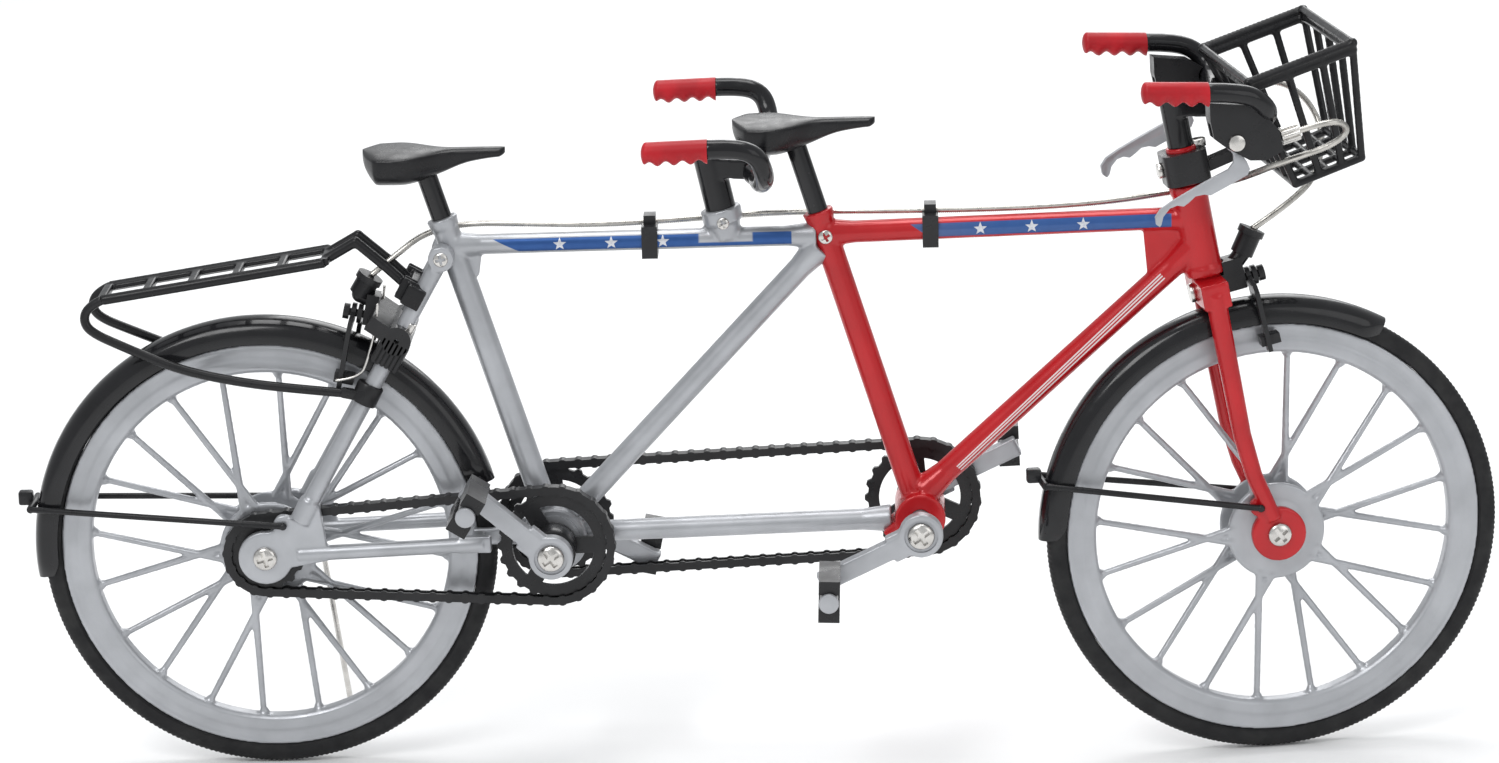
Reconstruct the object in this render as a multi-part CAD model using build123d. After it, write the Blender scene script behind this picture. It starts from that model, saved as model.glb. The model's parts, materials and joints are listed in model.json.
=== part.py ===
from build123d import *
import os
from math import asin, atan2, cos, degrees, pi, radians, sin, sqrt, tan

# Tandem bicycle, a 1:10 die-cast display model. Millimetres, +X forward, +Y to the rider's left, +Z up.
# The model is laid out with the rear hub at x = 0 and moved back by origin_ahead when it is written.
origin_ahead = 75.0            # from the rear hub forward to the middle of the whole length

# wheels
tyre_radius = 35.0
tyre_width = 3.4
tread_width = 2.3              # flat middle of the tread
rim_outer = 32.1
rim_inner = 27.5
rim_width = 3.0
spoke_pairs = 10
spoke_radius = 0.45
flange_radius = 7.6
flange_offset = 2.6            # inner face of a flange from the wheel's middle
flange_thick = 0.8
hub_radius = 3.2
axle_radius = 0.9
wheelbase = 153.8

# fits
running_fit = 0.05             # radial, a shaft in its bore
seat_gap = 0.03                # radial, a piece pushed on its seat
free_gap = 0.35                # between pieces that move past each other

# frame
seat_lean = 17.1               # degrees back from upright
head_lean = 10.5
rear_crank_x = 43.9
rear_crank_z = 35.6
front_crank_z = 38.1
shell_radius = 5.0
front_shell_radius = 3.9
shell_right = 3.6
shell_left = 7.4
seat_tube_radius = 1.95
rear_top_radius = 1.5
front_top_radius = 1.65
down_radius = 1.8
boom_radius = 1.6
diagonal_radius = 1.75
top_tube_z = 81.7
rear_top_rise = 0.009          # height gained per millimetre forward
front_top_rise = 0.024
front_top_step = 0.3           # the front tube joins this much higher
stoker_post_lean = 12.0
seat_tube_top = 86.0
head_tube_radius = 2.7
head_bottom = (143.6, 75.0)    # x, z on the steering axis
head_length = 14.4
steerer_radius = 1.9
stoker_post_radius = 2.35
socket_radius = 3.05
socket_length = 4.8
socket_floor = 1.9
stay_y = 7.15                  # middle of a dropout plate
dropout_thick = 1.5
dropout_radius = 4.1
seat_stay_radius = 1.3
chain_stay_radius = 1.15
seat_bolt_y = 4.8              # floor of the recess for the screw at a seat stay's top
seat_bolt_radius = 1.15
post_radius = 1.55

# drive
link_pitch = 2.5
ring_teeth = 22
cog_teeth = 15
drive_links = 54
timing_links = 67
drive_y = -5.2
timing_y = 9.0
chain_half_width = 0.9
chain_half_height = 0.6
roller_bump = 0.8
chain_groove = 0.95
ring_thick = 0.7
ring_window = 6.3
ring_hub = 3.6
crank_length = 15.5
crank_inner = 10.4
crank_thick = 2.2
crank_boss = 3.3
spindle_radius = 1.5
pedal_axle_radius = 0.7
pedal_width = 10.6
pedal_reach = 6.4
pedal_thick = 3.2
rear_right_crank_angle = 139.0
rear_left_crank_angle = -28.0
front_right_crank_angle = 205.5
front_left_crank_angle = 25.5

# steering
steer_at_rest = 8.65           # degrees turned to the left
fork_half = 5.0                # blade middle from the wheel's middle
blade_top_radius = 1.5
blade_end_radius = 1.15
stem_radius = 1.95
bar_radius = 1.45
bar_half = 22.4
grip_length = 9.6
clamp_height = 4.8

# fenders
fender_gap = 0.5
fender_thick = 0.8
fender_half = 3.15
fender_skirt = 3.0

# brakes
brake_reach = 9.4              # from a brake's pivot down to its pads
brake_spread = 4.4             # from the pivot sideways to the arms
arm_thick = 0.7
arm_gap = 0.3
pad_gap = 0.6                  # from a pad to the rim
lever_thick = 1.2
lever_y = 20.0

# basket
basket_rim_half = 15.6
basket_floor_half = 10.9
basket_bar = 0.6
basket_rim_bar = 0.75

# rack
rack_half = 4.4
rack_bar = 0.75

# cables
cable_radius = 0.5

EPS = 0.001


def put(name, shape):
    """write one node, moved so that the origin is under the middle of the bicycle"""
    os.makedirs("parts", exist_ok=True)
    moved = Pos(-origin_ahead, 0, 0) * shape
    export_step(moved, "parts/" + name + ".step")


def group(pieces):
    return Compound(children=list(pieces))


def rod(start, end, radius):
    line = Vector(*end) - Vector(*start)
    plane = Plane(origin=start, z_dir=line)
    return plane * Cylinder(radius, line.length, align=(Align.CENTER, Align.CENTER, Align.MIN))


def taper(start, end, start_radius, end_radius):
    line = Vector(*end) - Vector(*start)
    plane = Plane(origin=start, z_dir=line)
    return plane * Cone(start_radius, end_radius, line.length, align=(Align.CENTER, Align.CENTER, Align.MIN))


def cross_rod(x, z, y_from, y_to, radius):
    """round bar along Y"""
    return rod((x, y_from, z), (x, y_to, z), radius)


def ball(point, radius):
    return Pos(*point) * Sphere(radius)


def side_plate(points, y_from, y_to):
    """flat plate whose outline is given in x, z"""
    outline = make_face(Polyline([Vector(x, y_from, z) for x, z in points], close=True))
    return extrude(outline, amount=y_to - y_from, dir=(0, 1, 0))


def flat_bar(start, end, width, y_from, y_to):
    """bar of rectangular section with square ends, along a line in the side view"""
    length = sqrt((end[0] - start[0]) ** 2 + (end[1] - start[1]) ** 2)
    tilt = degrees(atan2(end[1] - start[1], end[0] - start[0]))
    bar = Box(length, y_to - y_from, width, align=(Align.MIN, Align.MIN, Align.CENTER))
    return Pos(start[0], y_from, start[1]) * Rot(0, -tilt, 0) * bar


def ring(x, z, y_from, y_to, outer, inner):
    return cross_rod(x, z, y_from, y_to, outer) - cross_rod(x, z, y_from - 1, y_to + 1, inner)


def mirror_y(shape):
    return mirror(shape, about=Plane.XZ)


def cord_radii(points, share=0.45):
    """the largest arcs that the runs on either side of each corner allow"""
    radii = []
    for before, corner, after in zip(points, points[1:], points[2:]):
        first = Vector(*corner) - Vector(*before)
        second = Vector(*after) - Vector(*corner)
        half_turn = radians(first.get_angle(second)) / 2
        radii.append(share * min(first.length, second.length) / tan(half_turn))
    return radii


def on_head(distance):
    """point on the steering axis, measured up from the head tube's bottom"""
    x = head_bottom[0] - distance * sin(radians(head_lean))
    z = head_bottom[1] + distance * cos(radians(head_lean))
    return (x, 0, z)


steering_axis = Axis(on_head(0), (-sin(radians(head_lean)), 0, cos(radians(head_lean))))


def steered(shape):
    return shape.rotate(steering_axis, steer_at_rest)


def seat_line(crank_x, crank_z, z):
    """x of a seat tube's axis at a height"""
    return crank_x - (z - crank_z) * tan(radians(seat_lean))


# ---- places worked out from the driving dimensions ----
hub_z = tyre_radius
rear_hub = (0, hub_z)
front_hub = (wheelbase, hub_z)
ring_pitch_radius = link_pitch / (2 * sin(pi / ring_teeth))
cog_pitch_radius = link_pitch / (2 * sin(pi / cog_teeth))
timing_length = timing_links * link_pitch
timing_span = (timing_length - 2 * pi * ring_pitch_radius) / 2
front_crank_x = rear_crank_x + sqrt(timing_span ** 2 - (front_crank_z - rear_crank_z) ** 2)
rear_crank = (rear_crank_x, rear_crank_z)
front_crank = (front_crank_x, front_crank_z)
dropout_in = stay_y - dropout_thick / 2
dropout_out = stay_y + dropout_thick / 2
crank_outer = crank_inner + crank_thick


rear_top_ends = [seat_line(*rear_crank, top_tube_z), seat_line(*front_crank, top_tube_z)]


def top_tube_height(x):
    """height of the top tubes' axis, the rear tube's up to the front seat tube"""
    if x <= rear_top_ends[1]:
        return top_tube_z + (x - rear_top_ends[0]) * rear_top_rise
    join = top_tube_z + (rear_top_ends[1] - rear_top_ends[0]) * rear_top_rise + front_top_step
    return join + (x - rear_top_ends[1]) * front_top_rise


# ---- frame tubes, each coped to the one that it meets ----
def seat_tube(crank):
    bottom = (crank[0], 0, crank[1])
    top = (seat_line(*crank, seat_tube_top), 0, seat_tube_top)
    body = rod(bottom, top, seat_tube_radius)
    bore_bottom = (seat_line(*crank, seat_tube_top - 24), 0, seat_tube_top - 24)
    above = (seat_line(*crank, seat_tube_top + 5), 0, seat_tube_top + 5)
    return body - rod(bore_bottom, above, post_radius + running_fit)


shells = {}
shells["rear"] = ring(*rear_crank, -shell_right, shell_left, shell_radius, spindle_radius + running_fit)
shells["front"] = ring(*front_crank, -shell_right, shell_left, front_shell_radius, spindle_radius + running_fit)
rear_shell_core = cross_rod(*rear_crank, -shell_right, shell_left, shell_radius)
front_shell_core = cross_rod(*front_crank, -shell_right, shell_left, front_shell_radius)
rear_seat_tube = seat_tube(rear_crank) - rear_shell_core
front_seat_tube = seat_tube(front_crank) - front_shell_core
rear_seat_core = rod((rear_crank[0], 0, rear_crank[1]),
                     (seat_line(*rear_crank, seat_tube_top + 3), 0, seat_tube_top + 3), seat_tube_radius)
front_seat_core = rod((front_crank[0], 0, front_crank[1]),
                      (seat_line(*front_crank, seat_tube_top + 3), 0, seat_tube_top + 3), seat_tube_radius)
head_core = rod(on_head(-2), on_head(head_length + 2), head_tube_radius)
head_tube = rod(on_head(0), on_head(head_length), head_tube_radius)
head_tube = head_tube - rod(on_head(-2), on_head(head_length + 2), steerer_radius + running_fit)

rear_top_core = rod((rear_top_ends[0], 0, top_tube_height(rear_top_ends[0])),
                    (rear_top_ends[1], 0, top_tube_height(rear_top_ends[1])), rear_top_radius)
stoker_foot = (71.6, 0, top_tube_height(71.6))


def on_stoker(distance):
    """point on the stoker post's axis, measured up from the top tube's axis"""
    lean = radians(stoker_post_lean)
    return (stoker_foot[0] - distance * sin(lean), 0, stoker_foot[2] + distance * cos(lean))


stoker_socket = rod(on_stoker(0), on_stoker(socket_length), socket_radius) - rear_top_core
socket_bore = rod(on_stoker(socket_floor), on_stoker(socket_length + 3), stoker_post_radius + seat_gap)
rear_top_tube = rear_top_core + stoker_socket - socket_bore
rear_top_tube = rear_top_tube - rear_seat_core - front_seat_core

front_top_end = head_bottom[0] - 1.6
front_top_core = rod((rear_top_ends[1], 0, top_tube_height(rear_top_ends[1] + EPS)),
                     (front_top_end, 0, top_tube_height(front_top_end)), front_top_radius)
front_top_tube = front_top_core - front_seat_core - head_core
down_start = (front_crank_x - 0.6, 0, front_crank_z + 2.5)
down_end = (142.6, 0, 80.0)
down_core = rod(down_start, down_end, down_radius)
down_tube = down_core - front_shell_core - head_core - front_top_core - front_seat_core
boom_core = rod((rear_crank_x, 0, rear_crank_z + 0.4), (front_crank_x, 0, front_crank_z - 0.6), boom_radius)
boom_tube = boom_core - rear_shell_core - front_shell_core
diagonal_core = rod((rear_crank_x + 0.4, 0, rear_crank_z + 0.6),
                    (rear_top_ends[1] + 0.2, 0, top_tube_z - 0.2), diagonal_radius)
diagonal_tube = diagonal_core - rear_shell_core - rear_seat_core - front_seat_core - rear_top_core - boom_core

# the rear shell carries two tabs that reach back beside the tyre for the stays
tab_inner = tyre_width / 2 + 0.6
tab_outer = shell_right
tab_back = 31.5
tabs = []
for side in (-1, 1):
    low, high = sorted((side * tab_inner, side * tab_outer))
    tab = Box(rear_crank_x - tab_back, high - low, 2.6, align=(Align.MIN, Align.MIN, Align.CENTER))
    tabs.append(Pos(tab_back, low, rear_crank_z + 0.9) * tab - rear_shell_core)
put("head_tube", head_tube)
put("front_top_tube", front_top_tube)
put("rear_top_tube", rear_top_tube)
put("front_seat_tube", front_seat_tube)
put("rear_seat_tube", rear_seat_tube)
put("down_tube", down_tube)
put("boom_tube", boom_tube)
put("diagonal_tube", diagonal_tube)
put("crank_shells", group([shells["rear"] + tabs[0] + tabs[1], shells["front"]]))


# ---- rear stays ----
def stays_right():
    top = (28.4, -3.4, 80.6)
    low = (6.6, -stay_y, 42.6)
    seat_stay = rod(low, top, seat_stay_radius) + ball(top, 1.9)
    bolt_eye = cross_rod(top[0], top[2], -seat_bolt_y - 0.3, -2.0, 1.9)
    plate = cross_rod(0, hub_z, -dropout_out, -dropout_in, dropout_radius)
    web = side_plate([(0.5, hub_z - 2.2), (9.5, hub_z - 0.6), (9.5, hub_z + 1.8), (8.6, 43.4), (5.6, 44.2),
                      (3.4, 40.0), (-2.0, hub_z + 3.4)], -dropout_out, -dropout_in)
    eyelet = cross_rod(3.0, hub_z + 5.2, -dropout_out, -dropout_in, 1.5)
    chain_stay = rod((5.0, -stay_y, hub_z + 0.4), (33.4, -stay_y, rear_crank_z + 0.9), chain_stay_radius)
    flat_end = Box(4.0, dropout_thick, 2.6, align=(Align.MAX, Align.MAX, Align.CENTER))
    lug = Box(1.9, dropout_out - shell_right, 2.4, align=(Align.MAX, Align.MIN, Align.CENTER))
    body = seat_stay + bolt_eye + plate + web + eyelet + chain_stay
    body = body + Pos(33.6, -dropout_in, rear_crank_z + 0.9) * flat_end
    body = body + Pos(33.4, -dropout_out, rear_crank_z + 0.9) * lug
    body = body - rear_seat_core
    body = body - cross_rod(top[0], top[2], -8, -seat_bolt_y, seat_bolt_radius + seat_gap)
    body = body - cross_rod(0, hub_z, -20, 20, axle_radius + seat_gap)
    return body - cross_rod(3.0, hub_z + 5.2, -20, 20, 0.6)


right_stays = stays_right()
put("right_stays", right_stays)
put("left_stays", mirror_y(right_stays))


# ---- wheels ----
def wheel_tyre():
    crown = tread_width / 2
    edge = tyre_width / 2
    seat = rim_outer + seat_gap
    profile = make_face(Polyline((seat, -1.2), (seat + 0.5, -edge), (tyre_radius - 0.9, -edge),
                                 (tyre_radius, -crown), (tyre_radius, crown), (tyre_radius - 0.9, edge),
                                 (seat + 0.5, edge), (seat, 1.2), close=True))
    return revolve(profile, axis=Axis.Y)


def spoke(angle, side):
    """one spoke of a crossing pair: out at the rim, across, and down to the flange"""
    def place(radius, turn, y):
        return (radius * cos(radians(turn)), y, radius * sin(radians(turn)))
    spread = 360 / spoke_pairs / 4
    flange_y = side * (flange_offset + flange_thick / 2)
    sticks = []
    for way in (-1, 1):
        out = place(rim_inner + 0.4, angle + way * spread, 0)
        inner = place(flange_radius - 0.7, angle - way * spread, flange_y)
        sticks.append(rod(inner, out, spoke_radius))
    return sticks


def wheel_casting(right_end, left_end):
    half = rim_width / 2
    rim_profile = make_face(Polyline((rim_inner, -half + 0.5), (rim_inner + 0.6, -half), (rim_outer, -half),
                                     (rim_outer, half), (rim_inner + 0.6, half), (rim_inner, half - 0.5), close=True))
    body = revolve(rim_profile, axis=Axis.Y)
    body = body + cross_rod(0, 0, -right_end, left_end, hub_radius)
    for side in (-1, 1):
        body = body + cross_rod(0, 0, side * flange_offset, side * (flange_offset + flange_thick), flange_radius)
    for pair in range(spoke_pairs):
        side = -1 if pair % 2 == 0 else 1
        body = body + spoke(pair * 360 / spoke_pairs + 40, side)
    return body - cross_rod(0, 0, -30, 30, axle_radius + running_fit)


hub_half = dropout_in - free_gap
fork_inner = fork_half - blade_end_radius
casting_front = wheel_casting(fork_inner - free_gap, fork_inner - free_gap)
cog_inner = -drive_y - ring_thick / 2
casting_rear = wheel_casting(cog_inner, hub_half)
tyre = wheel_tyre()
put("rear_tyre", Pos(0, 0, hub_z) * tyre)
put("rear_wheel", Pos(0, 0, hub_z) * casting_rear)
put("front_tyre", steered(Pos(wheelbase, 0, hub_z) * tyre))
put("front_wheel", steered(Pos(wheelbase, 0, hub_z) * casting_front))


# ---- sprockets and chains ----
def toothed(teeth, pitch_radius, bore):
    """flat toothed disc in the XZ plane about the origin"""
    tip = pitch_radius - 0.25
    root = pitch_radius - 0.75
    points = []
    for tooth in range(teeth):
        middle = 2 * pi * tooth / teeth
        step = 2 * pi / teeth
        for radius, part in ((root, -0.32), (tip, -0.12), (tip, 0.12), (root, 0.32)):
            turn = middle + part * step
            points.append((radius * cos(turn), radius * sin(turn)))
    disc = side_plate(points, -ring_thick / 2, ring_thick / 2)
    return disc - cross_rod(0, 0, -5, 5, bore)


def chainring(first_arm):
    """toothed ring on three arms"""
    body = toothed(ring_teeth, ring_pitch_radius, ring_window)
    for arm in range(3):
        turn = radians(first_arm + 120 * arm)
        reach = ring_window + 0.5
        stick = flat_bar((0, 0), (reach * cos(turn), reach * sin(turn)), 2.6, -ring_thick / 2, ring_thick / 2)
        body = body + stick
    body = body + cross_rod(0, 0, -ring_thick / 2, ring_thick / 2, ring_hub)
    return body - cross_rod(0, 0, -5, 5, spindle_radius + seat_gap)


def chain_loop(small_centre, small_radius, big_centre, big_radius, links, y):
    """closed chain round two sprockets, with a bump at each pin and a groove for the teeth"""
    dx = big_centre[0] - small_centre[0]
    dz = big_centre[1] - small_centre[1]
    span = sqrt(dx * dx + dz * dz)
    tilt = atan2(dz, dx)
    slope = asin((big_radius - small_radius) / span)

    def rim_point(centre, radius, turn):
        return (centre[0] + radius * cos(turn), centre[1] + radius * sin(turn))

    def outline(offset):
        small = small_radius + offset
        big = big_radius + offset
        up = tilt + pi / 2 + slope
        down = tilt - pi / 2 - slope
        a = rim_point(small_centre, small, up)
        b = rim_point(big_centre, big, up)
        c = rim_point(big_centre, big, tilt)
        d = rim_point(big_centre, big, down)
        e = rim_point(small_centre, small, down)
        f = rim_point(small_centre, small, tilt + pi)
        edges = Line(a, b) + ThreePointArc(b, c, d) + Line(d, e) + ThreePointArc(e, f, a)
        return make_face(edges)

    def slab(offset, half):
        face = Plane.XZ.offset(half) * outline(offset)
        return extrude(face, amount=2 * half, dir=(0, 1, 0))

    band = slab(chain_half_height, chain_half_width) - slab(-chain_half_height, chain_half_width + 1)
    straight = span * cos(slope)
    big_arc = big_radius * (pi + 2 * slope)
    small_arc = small_radius * (pi - 2 * slope)
    pitch = (2 * straight + big_arc + small_arc) / links
    for link in range(links):
        along = (link + 0.5) * pitch
        up = tilt + pi / 2 + slope
        if along < straight:
            start = rim_point(small_centre, small_radius, up)
            spot = (start[0] + along * cos(tilt + slope), start[1] + along * sin(tilt + slope))
        elif along < straight + big_arc:
            spot = rim_point(big_centre, big_radius, up - (along - straight) / big_radius)
        elif along < 2 * straight + big_arc:
            left = along - straight - big_arc
            start = rim_point(big_centre, big_radius, tilt - pi / 2 - slope)
            spot = (start[0] - left * cos(tilt - slope), start[1] - left * sin(tilt - slope))
        else:
            left = along - 2 * straight - big_arc
            spot = rim_point(small_centre, small_radius, tilt - pi / 2 - slope - left / small_radius)
        band = band + cross_rod(*spot, -chain_half_width, chain_half_width, roller_bump)
    groove = slab(0.0, chain_groove / 2) - slab(-chain_half_height - 0.6, chain_groove / 2 + 1)
    return Pos(0, y, 0) * (band - groove)


put("rear_cog", Pos(0, drive_y, hub_z) * (toothed(cog_teeth, cog_pitch_radius, axle_radius + running_fit)))
put("drive_chainring", Pos(rear_crank_x, drive_y, rear_crank_z) * chainring(0))
put("rear_timing_ring", Pos(rear_crank_x, timing_y, rear_crank_z) * chainring(95))
put("front_timing_ring", Pos(front_crank_x, timing_y, front_crank_z) * chainring(95))
put("drive_chain", chain_loop(rear_hub, cog_pitch_radius, rear_crank, ring_pitch_radius, drive_links, drive_y))
put("timing_chain", chain_loop(rear_crank, ring_pitch_radius, front_crank, ring_pitch_radius, timing_links, timing_y))


# ---- cranks ----
def crank_arm(centre, angle, side):
    """arm, its pedal axle and the cap on the axle's end"""
    turn = radians(angle)
    end = (centre[0] + crank_length * cos(turn), centre[1] + crank_length * sin(turn))
    near = side * crank_inner
    far = side * crank_outer
    low, high = sorted((near, far))
    blade = flat_bar(centre, end, 2.9, low, high)
    body = blade + cross_rod(*centre, near, far + side * 0.2, crank_boss) + cross_rod(*end, near, far, 1.7)
    axle_end = side * (crank_outer + free_gap + pedal_width + free_gap)
    body = body + cross_rod(*end, far, axle_end, pedal_axle_radius)
    return body + cross_rod(*end, axle_end, axle_end + side * 0.7, 1.5)


def crankset(centre, right_angle, left_angle, right_sleeve, left_sleeve):
    """both arms and the spindle, with the sleeves that hold the rings off the arms"""
    right = crank_arm(centre, right_angle, -1) - cross_rod(*centre, -30, 30, spindle_radius + seat_gap)
    left = crank_arm(centre, left_angle, 1) - cross_rod(*centre, -30, 30, spindle_radius + seat_gap)
    spindle = cross_rod(*centre, -crank_outer - 0.2, crank_outer + 0.2, spindle_radius)
    screws = []
    for side in (-1, 1):
        face = side * (crank_outer + 0.2)
        screws.append(cross_rod(*centre, face, face + side * 0.6, 2.1))
    sleeves = []
    for start, stop, radius in (right_sleeve, left_sleeve):
        sleeves.append(ring(*centre, *sorted((start, stop)), radius, spindle_radius + seat_gap))
    return group([right, left, spindle + screws] + sleeves)


drive_face = drive_y - ring_thick / 2
timing_face = timing_y + ring_thick / 2
rear_crankset = crankset(
    rear_crank, rear_right_crank_angle, rear_left_crank_angle,
    (-crank_inner, drive_face, ring_hub), (timing_face, crank_inner, ring_hub))
front_crankset = crankset(
    front_crank, front_right_crank_angle, front_left_crank_angle,
    (-crank_inner, -shell_right - free_gap, 2.4), (timing_face, crank_inner, ring_hub))
put("rear_crankset", rear_crankset)
put("front_crankset", front_crankset)


def pedal(centre, angle, side, tilt):
    turn = radians(angle)
    end = (centre[0] + crank_length * cos(turn), centre[1] + crank_length * sin(turn))
    inner = side * (crank_outer + free_gap)
    outer = inner + side * pedal_width
    low, high = sorted((inner, outer))
    body = cross_rod(0, 0, low, high, 1.35)
    for way in (-1, 1):
        block = Box(2.1, pedal_width, pedal_thick, align=(Align.CENTER, Align.MIN, Align.CENTER))
        body = body + Pos(way * (pedal_reach / 2 - 1.05), low, 0) * block
    bridge = Box(pedal_reach - 2, 2.4, 1.6, align=(Align.CENTER, Align.CENTER, Align.CENTER))
    for where in (low + 1.2, (low + high) / 2, high - 1.2):
        body = body + Pos(0, where, 0) * bridge
    body = body - cross_rod(0, 0, -40, 40, pedal_axle_radius + running_fit)
    return Pos(end[0], 0, end[1]) * Rot(0, -tilt, 0) * body


put("rear_right_pedal", pedal(rear_crank, rear_right_crank_angle, -1, 58))
put("rear_left_pedal", pedal(rear_crank, rear_left_crank_angle, 1, 78))
put("front_right_pedal", pedal(front_crank, front_right_crank_angle, -1, 88))
put("front_left_pedal", pedal(front_crank, front_left_crank_angle, 1, 92))


# ---- seats ----
def saddle(post_x, top_z):
    """padded seat: the plan outline and the side outline, one cut by the other"""
    back = post_x - 9.6
    nose = post_x + 11.9
    plan = make_face(Polyline((back + 0.6, -5.4), (back + 4.0, -6.8), (back + 8.2, -6.0), (back + 11.5, -3.0),
                              (back + 15.5, -2.0), (nose, -1.3), (nose, 1.3), (back + 15.5, 2.0),
                              (back + 11.5, 3.0), (back + 8.2, 6.0), (back + 4.0, 6.8), (back + 0.6, 5.4),
                              (back, 3.0), (back, -3.0), close=True))
    solid = Pos(0, 0, top_z - 9) * extrude(plan, amount=12)
    side = side_plate([(back, top_z - 5.2), (back + 4.5, top_z - 5.4), (back + 12.0, top_z - 4.2),
                       (nose, top_z - 1.6), (nose, top_z - 0.2), (back + 14, top_z),
                       (back + 1.0, top_z), (back - 0.2, top_z - 0.8)], -8, 8)
    return solid & side


def seat_post(crank, low_z, high_z):
    return rod((seat_line(*crank, low_z), 0, low_z), (seat_line(*crank, high_z), 0, high_z), post_radius)


saddle_tops = {"rear": 96.8, "front": 100.3}
for place, crank in (("rear", rear_crank), ("front", front_crank)):
    top = saddle_tops[place]
    post_high = top - 3.2
    post = seat_post(crank, seat_tube_top - 12, post_high)
    seat = saddle(seat_line(*crank, top - 4.6), top)
    put(place + "_saddle", seat - seat_post(crank, 60, post_high))
    put(place + "_seatpost", post)


# ---- handlebars ----
def grip(x_back, x_front, side, z_back, z_front):
    """hand grip with four finger waves along its lower side"""
    waves = 4
    length = x_front - x_back
    rise = (z_front - z_back) / length
    top = []
    low = []
    for step in range(waves * 8 + 1):
        part = step / (waves * 8)
        x = x_back + part * length
        middle = z_back + rise * part * length
        wave = 0.35 * cos(2 * pi * waves * part)
        low.append((x, middle - 1.75 + wave))
        top.append((x, middle + 1.6))
    outline = low + [top[-1], top[0]]
    body = side_plate(outline, side * bar_half - 1.55, side * bar_half + 1.55)
    round_core = rod((x_back - 1, side * bar_half, z_back - 0.1 - rise),
                     (x_front + 1, side * bar_half, z_front - 0.1 + rise), 2.0)
    return body & round_core


def bar_with(points):
    path = FilletPolyline(*points, radius=cord_radii(points, 0.42))
    return sweep(Plane(origin=path @ 0, z_dir=path % 0) * Circle(bar_radius), path=path)


def both_ways(points):
    """a left half of a bar's route, from the grip inward, carried on to the right"""
    return points + [(x, -y, z) for x, y, z in reversed(points)]


stoker_route = both_ways([(69.5, bar_half, 100.6), (75.8, bar_half, 100.7), (78.0, 20.4, 96.0), (76.4, 8.0, 92.6)])
stoker_bar = bar_with(stoker_route)
stoker_post = rod(on_stoker(socket_floor), on_stoker(14.2), stoker_post_radius)
stoker_arm = flat_bar((on_stoker(11.5)[0], on_stoker(11.5)[2]), (76.6, 92.7), 2.6, -2.0, 2.0)
stoker_bar = stoker_bar + stoker_post + stoker_arm
put("stoker_handlebar", stoker_bar)
put("stoker_grips", group([grip(59.9, 69.5, side, 100.3, 100.6) for side in (-1, 1)]))

stem_bottom = head_length + free_gap + clamp_height + 0.3
spigot_radius = 1.15
handlebar_route = both_ways([(139.2, bar_half, 106.9), (145.6, bar_half, 106.6), (149.2, 21.0, 103.2),
                             (147.4, 16.0, 101.2), (146.2, 7.0, 100.7)])
handlebar_bar = bar_with(handlebar_route)
stem = rod(on_head(stem_bottom), on_head(stem_bottom + 8.6), stem_radius)
stem = stem + rod(on_head(stem_bottom - 7), on_head(stem_bottom), spigot_radius)
stem_arm_start = on_head(stem_bottom + 6.9)
stem_arm = flat_bar((stem_arm_start[0], stem_arm_start[2]), (146.4, 100.7), 2.8, -2.0, 2.0)
put("handlebar", steered(handlebar_bar + stem + stem_arm))
put("handlebar_grips", steered(group([grip(129.4, 139.2, side, 107.4, 106.9) for side in (-1, 1)])))


# ---- fork ----
def fork_shape():
    body = rod(on_head(-2), on_head(stem_bottom), steerer_radius)
    crown_low = on_head(-4.3)
    crown_high = on_head(-free_gap)
    crown = Box(4.2, 2 * fork_half + 2.6, 3.95)
    middle = ((crown_low[0] + crown_high[0]) / 2, 0, (crown_low[2] + crown_high[2]) / 2)
    body = body + Pos(*middle) * Rot(0, -head_lean, 0) * crown
    knee = (on_head(-24.6)[0], on_head(-24.6)[2])
    shin = (149.9, 44.4)
    ankle = (wheelbase - 0.8, hub_z + 2.4)
    for side in (-1, 1):
        y = side * fork_half
        top = (on_head(-2.2)[0], y, on_head(-2.2)[2])
        body = body + taper(top, (knee[0], y, knee[1]), blade_top_radius, 1.35)
        body = body + ball((knee[0], y, knee[1]), 1.35)
        body = body + taper((knee[0], y, knee[1]), (shin[0], y, shin[1]), 1.35, 1.25) + ball((shin[0], y, shin[1]), 1.25)
        body = body + taper((shin[0], y, shin[1]), (ankle[0], y, ankle[1]), 1.25, blade_end_radius)
        body = body + cross_rod(*front_hub, side * fork_inner, side * (fork_inner + dropout_thick), dropout_radius)
        body = body + cross_rod(wheelbase - 3.0, hub_z + 4.4, side * fork_inner, side * (fork_inner + dropout_thick), 1.4)
    body = body - cross_rod(*front_hub, -20, 20, axle_radius + seat_gap)
    body = body - cross_rod(wheelbase - 3.0, hub_z + 4.4, -20, 20, 0.6)
    body = body - rod(on_head(stem_bottom - 7.2), on_head(stem_bottom + 1), spigot_radius + seat_gap)
    return body


put("fork", steered(fork_shape()))
clamp_low = head_length + free_gap
clamp_middle = on_head(clamp_low + clamp_height / 2)
clamp_block = Box(6.8, 6.6, clamp_height)
clamp_block = fillet(clamp_block.edges().filter_by(Axis.Z), 1.6)
clamp = Pos(*clamp_middle) * Rot(0, -head_lean, 0) * clamp_block
clamp = clamp - rod(on_head(clamp_low - 1), on_head(clamp_low + clamp_height + 1), steerer_radius + seat_gap)
bracket = flat_bar((clamp_middle[0] + 3.0, clamp_middle[2] - 0.2), (152.7, 95.2), 1.6, -1.5, 1.5)
clamp = clamp + (bracket - rod(on_head(clamp_low - 1), on_head(clamp_low + clamp_height + 1), steerer_radius + 1))


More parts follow.
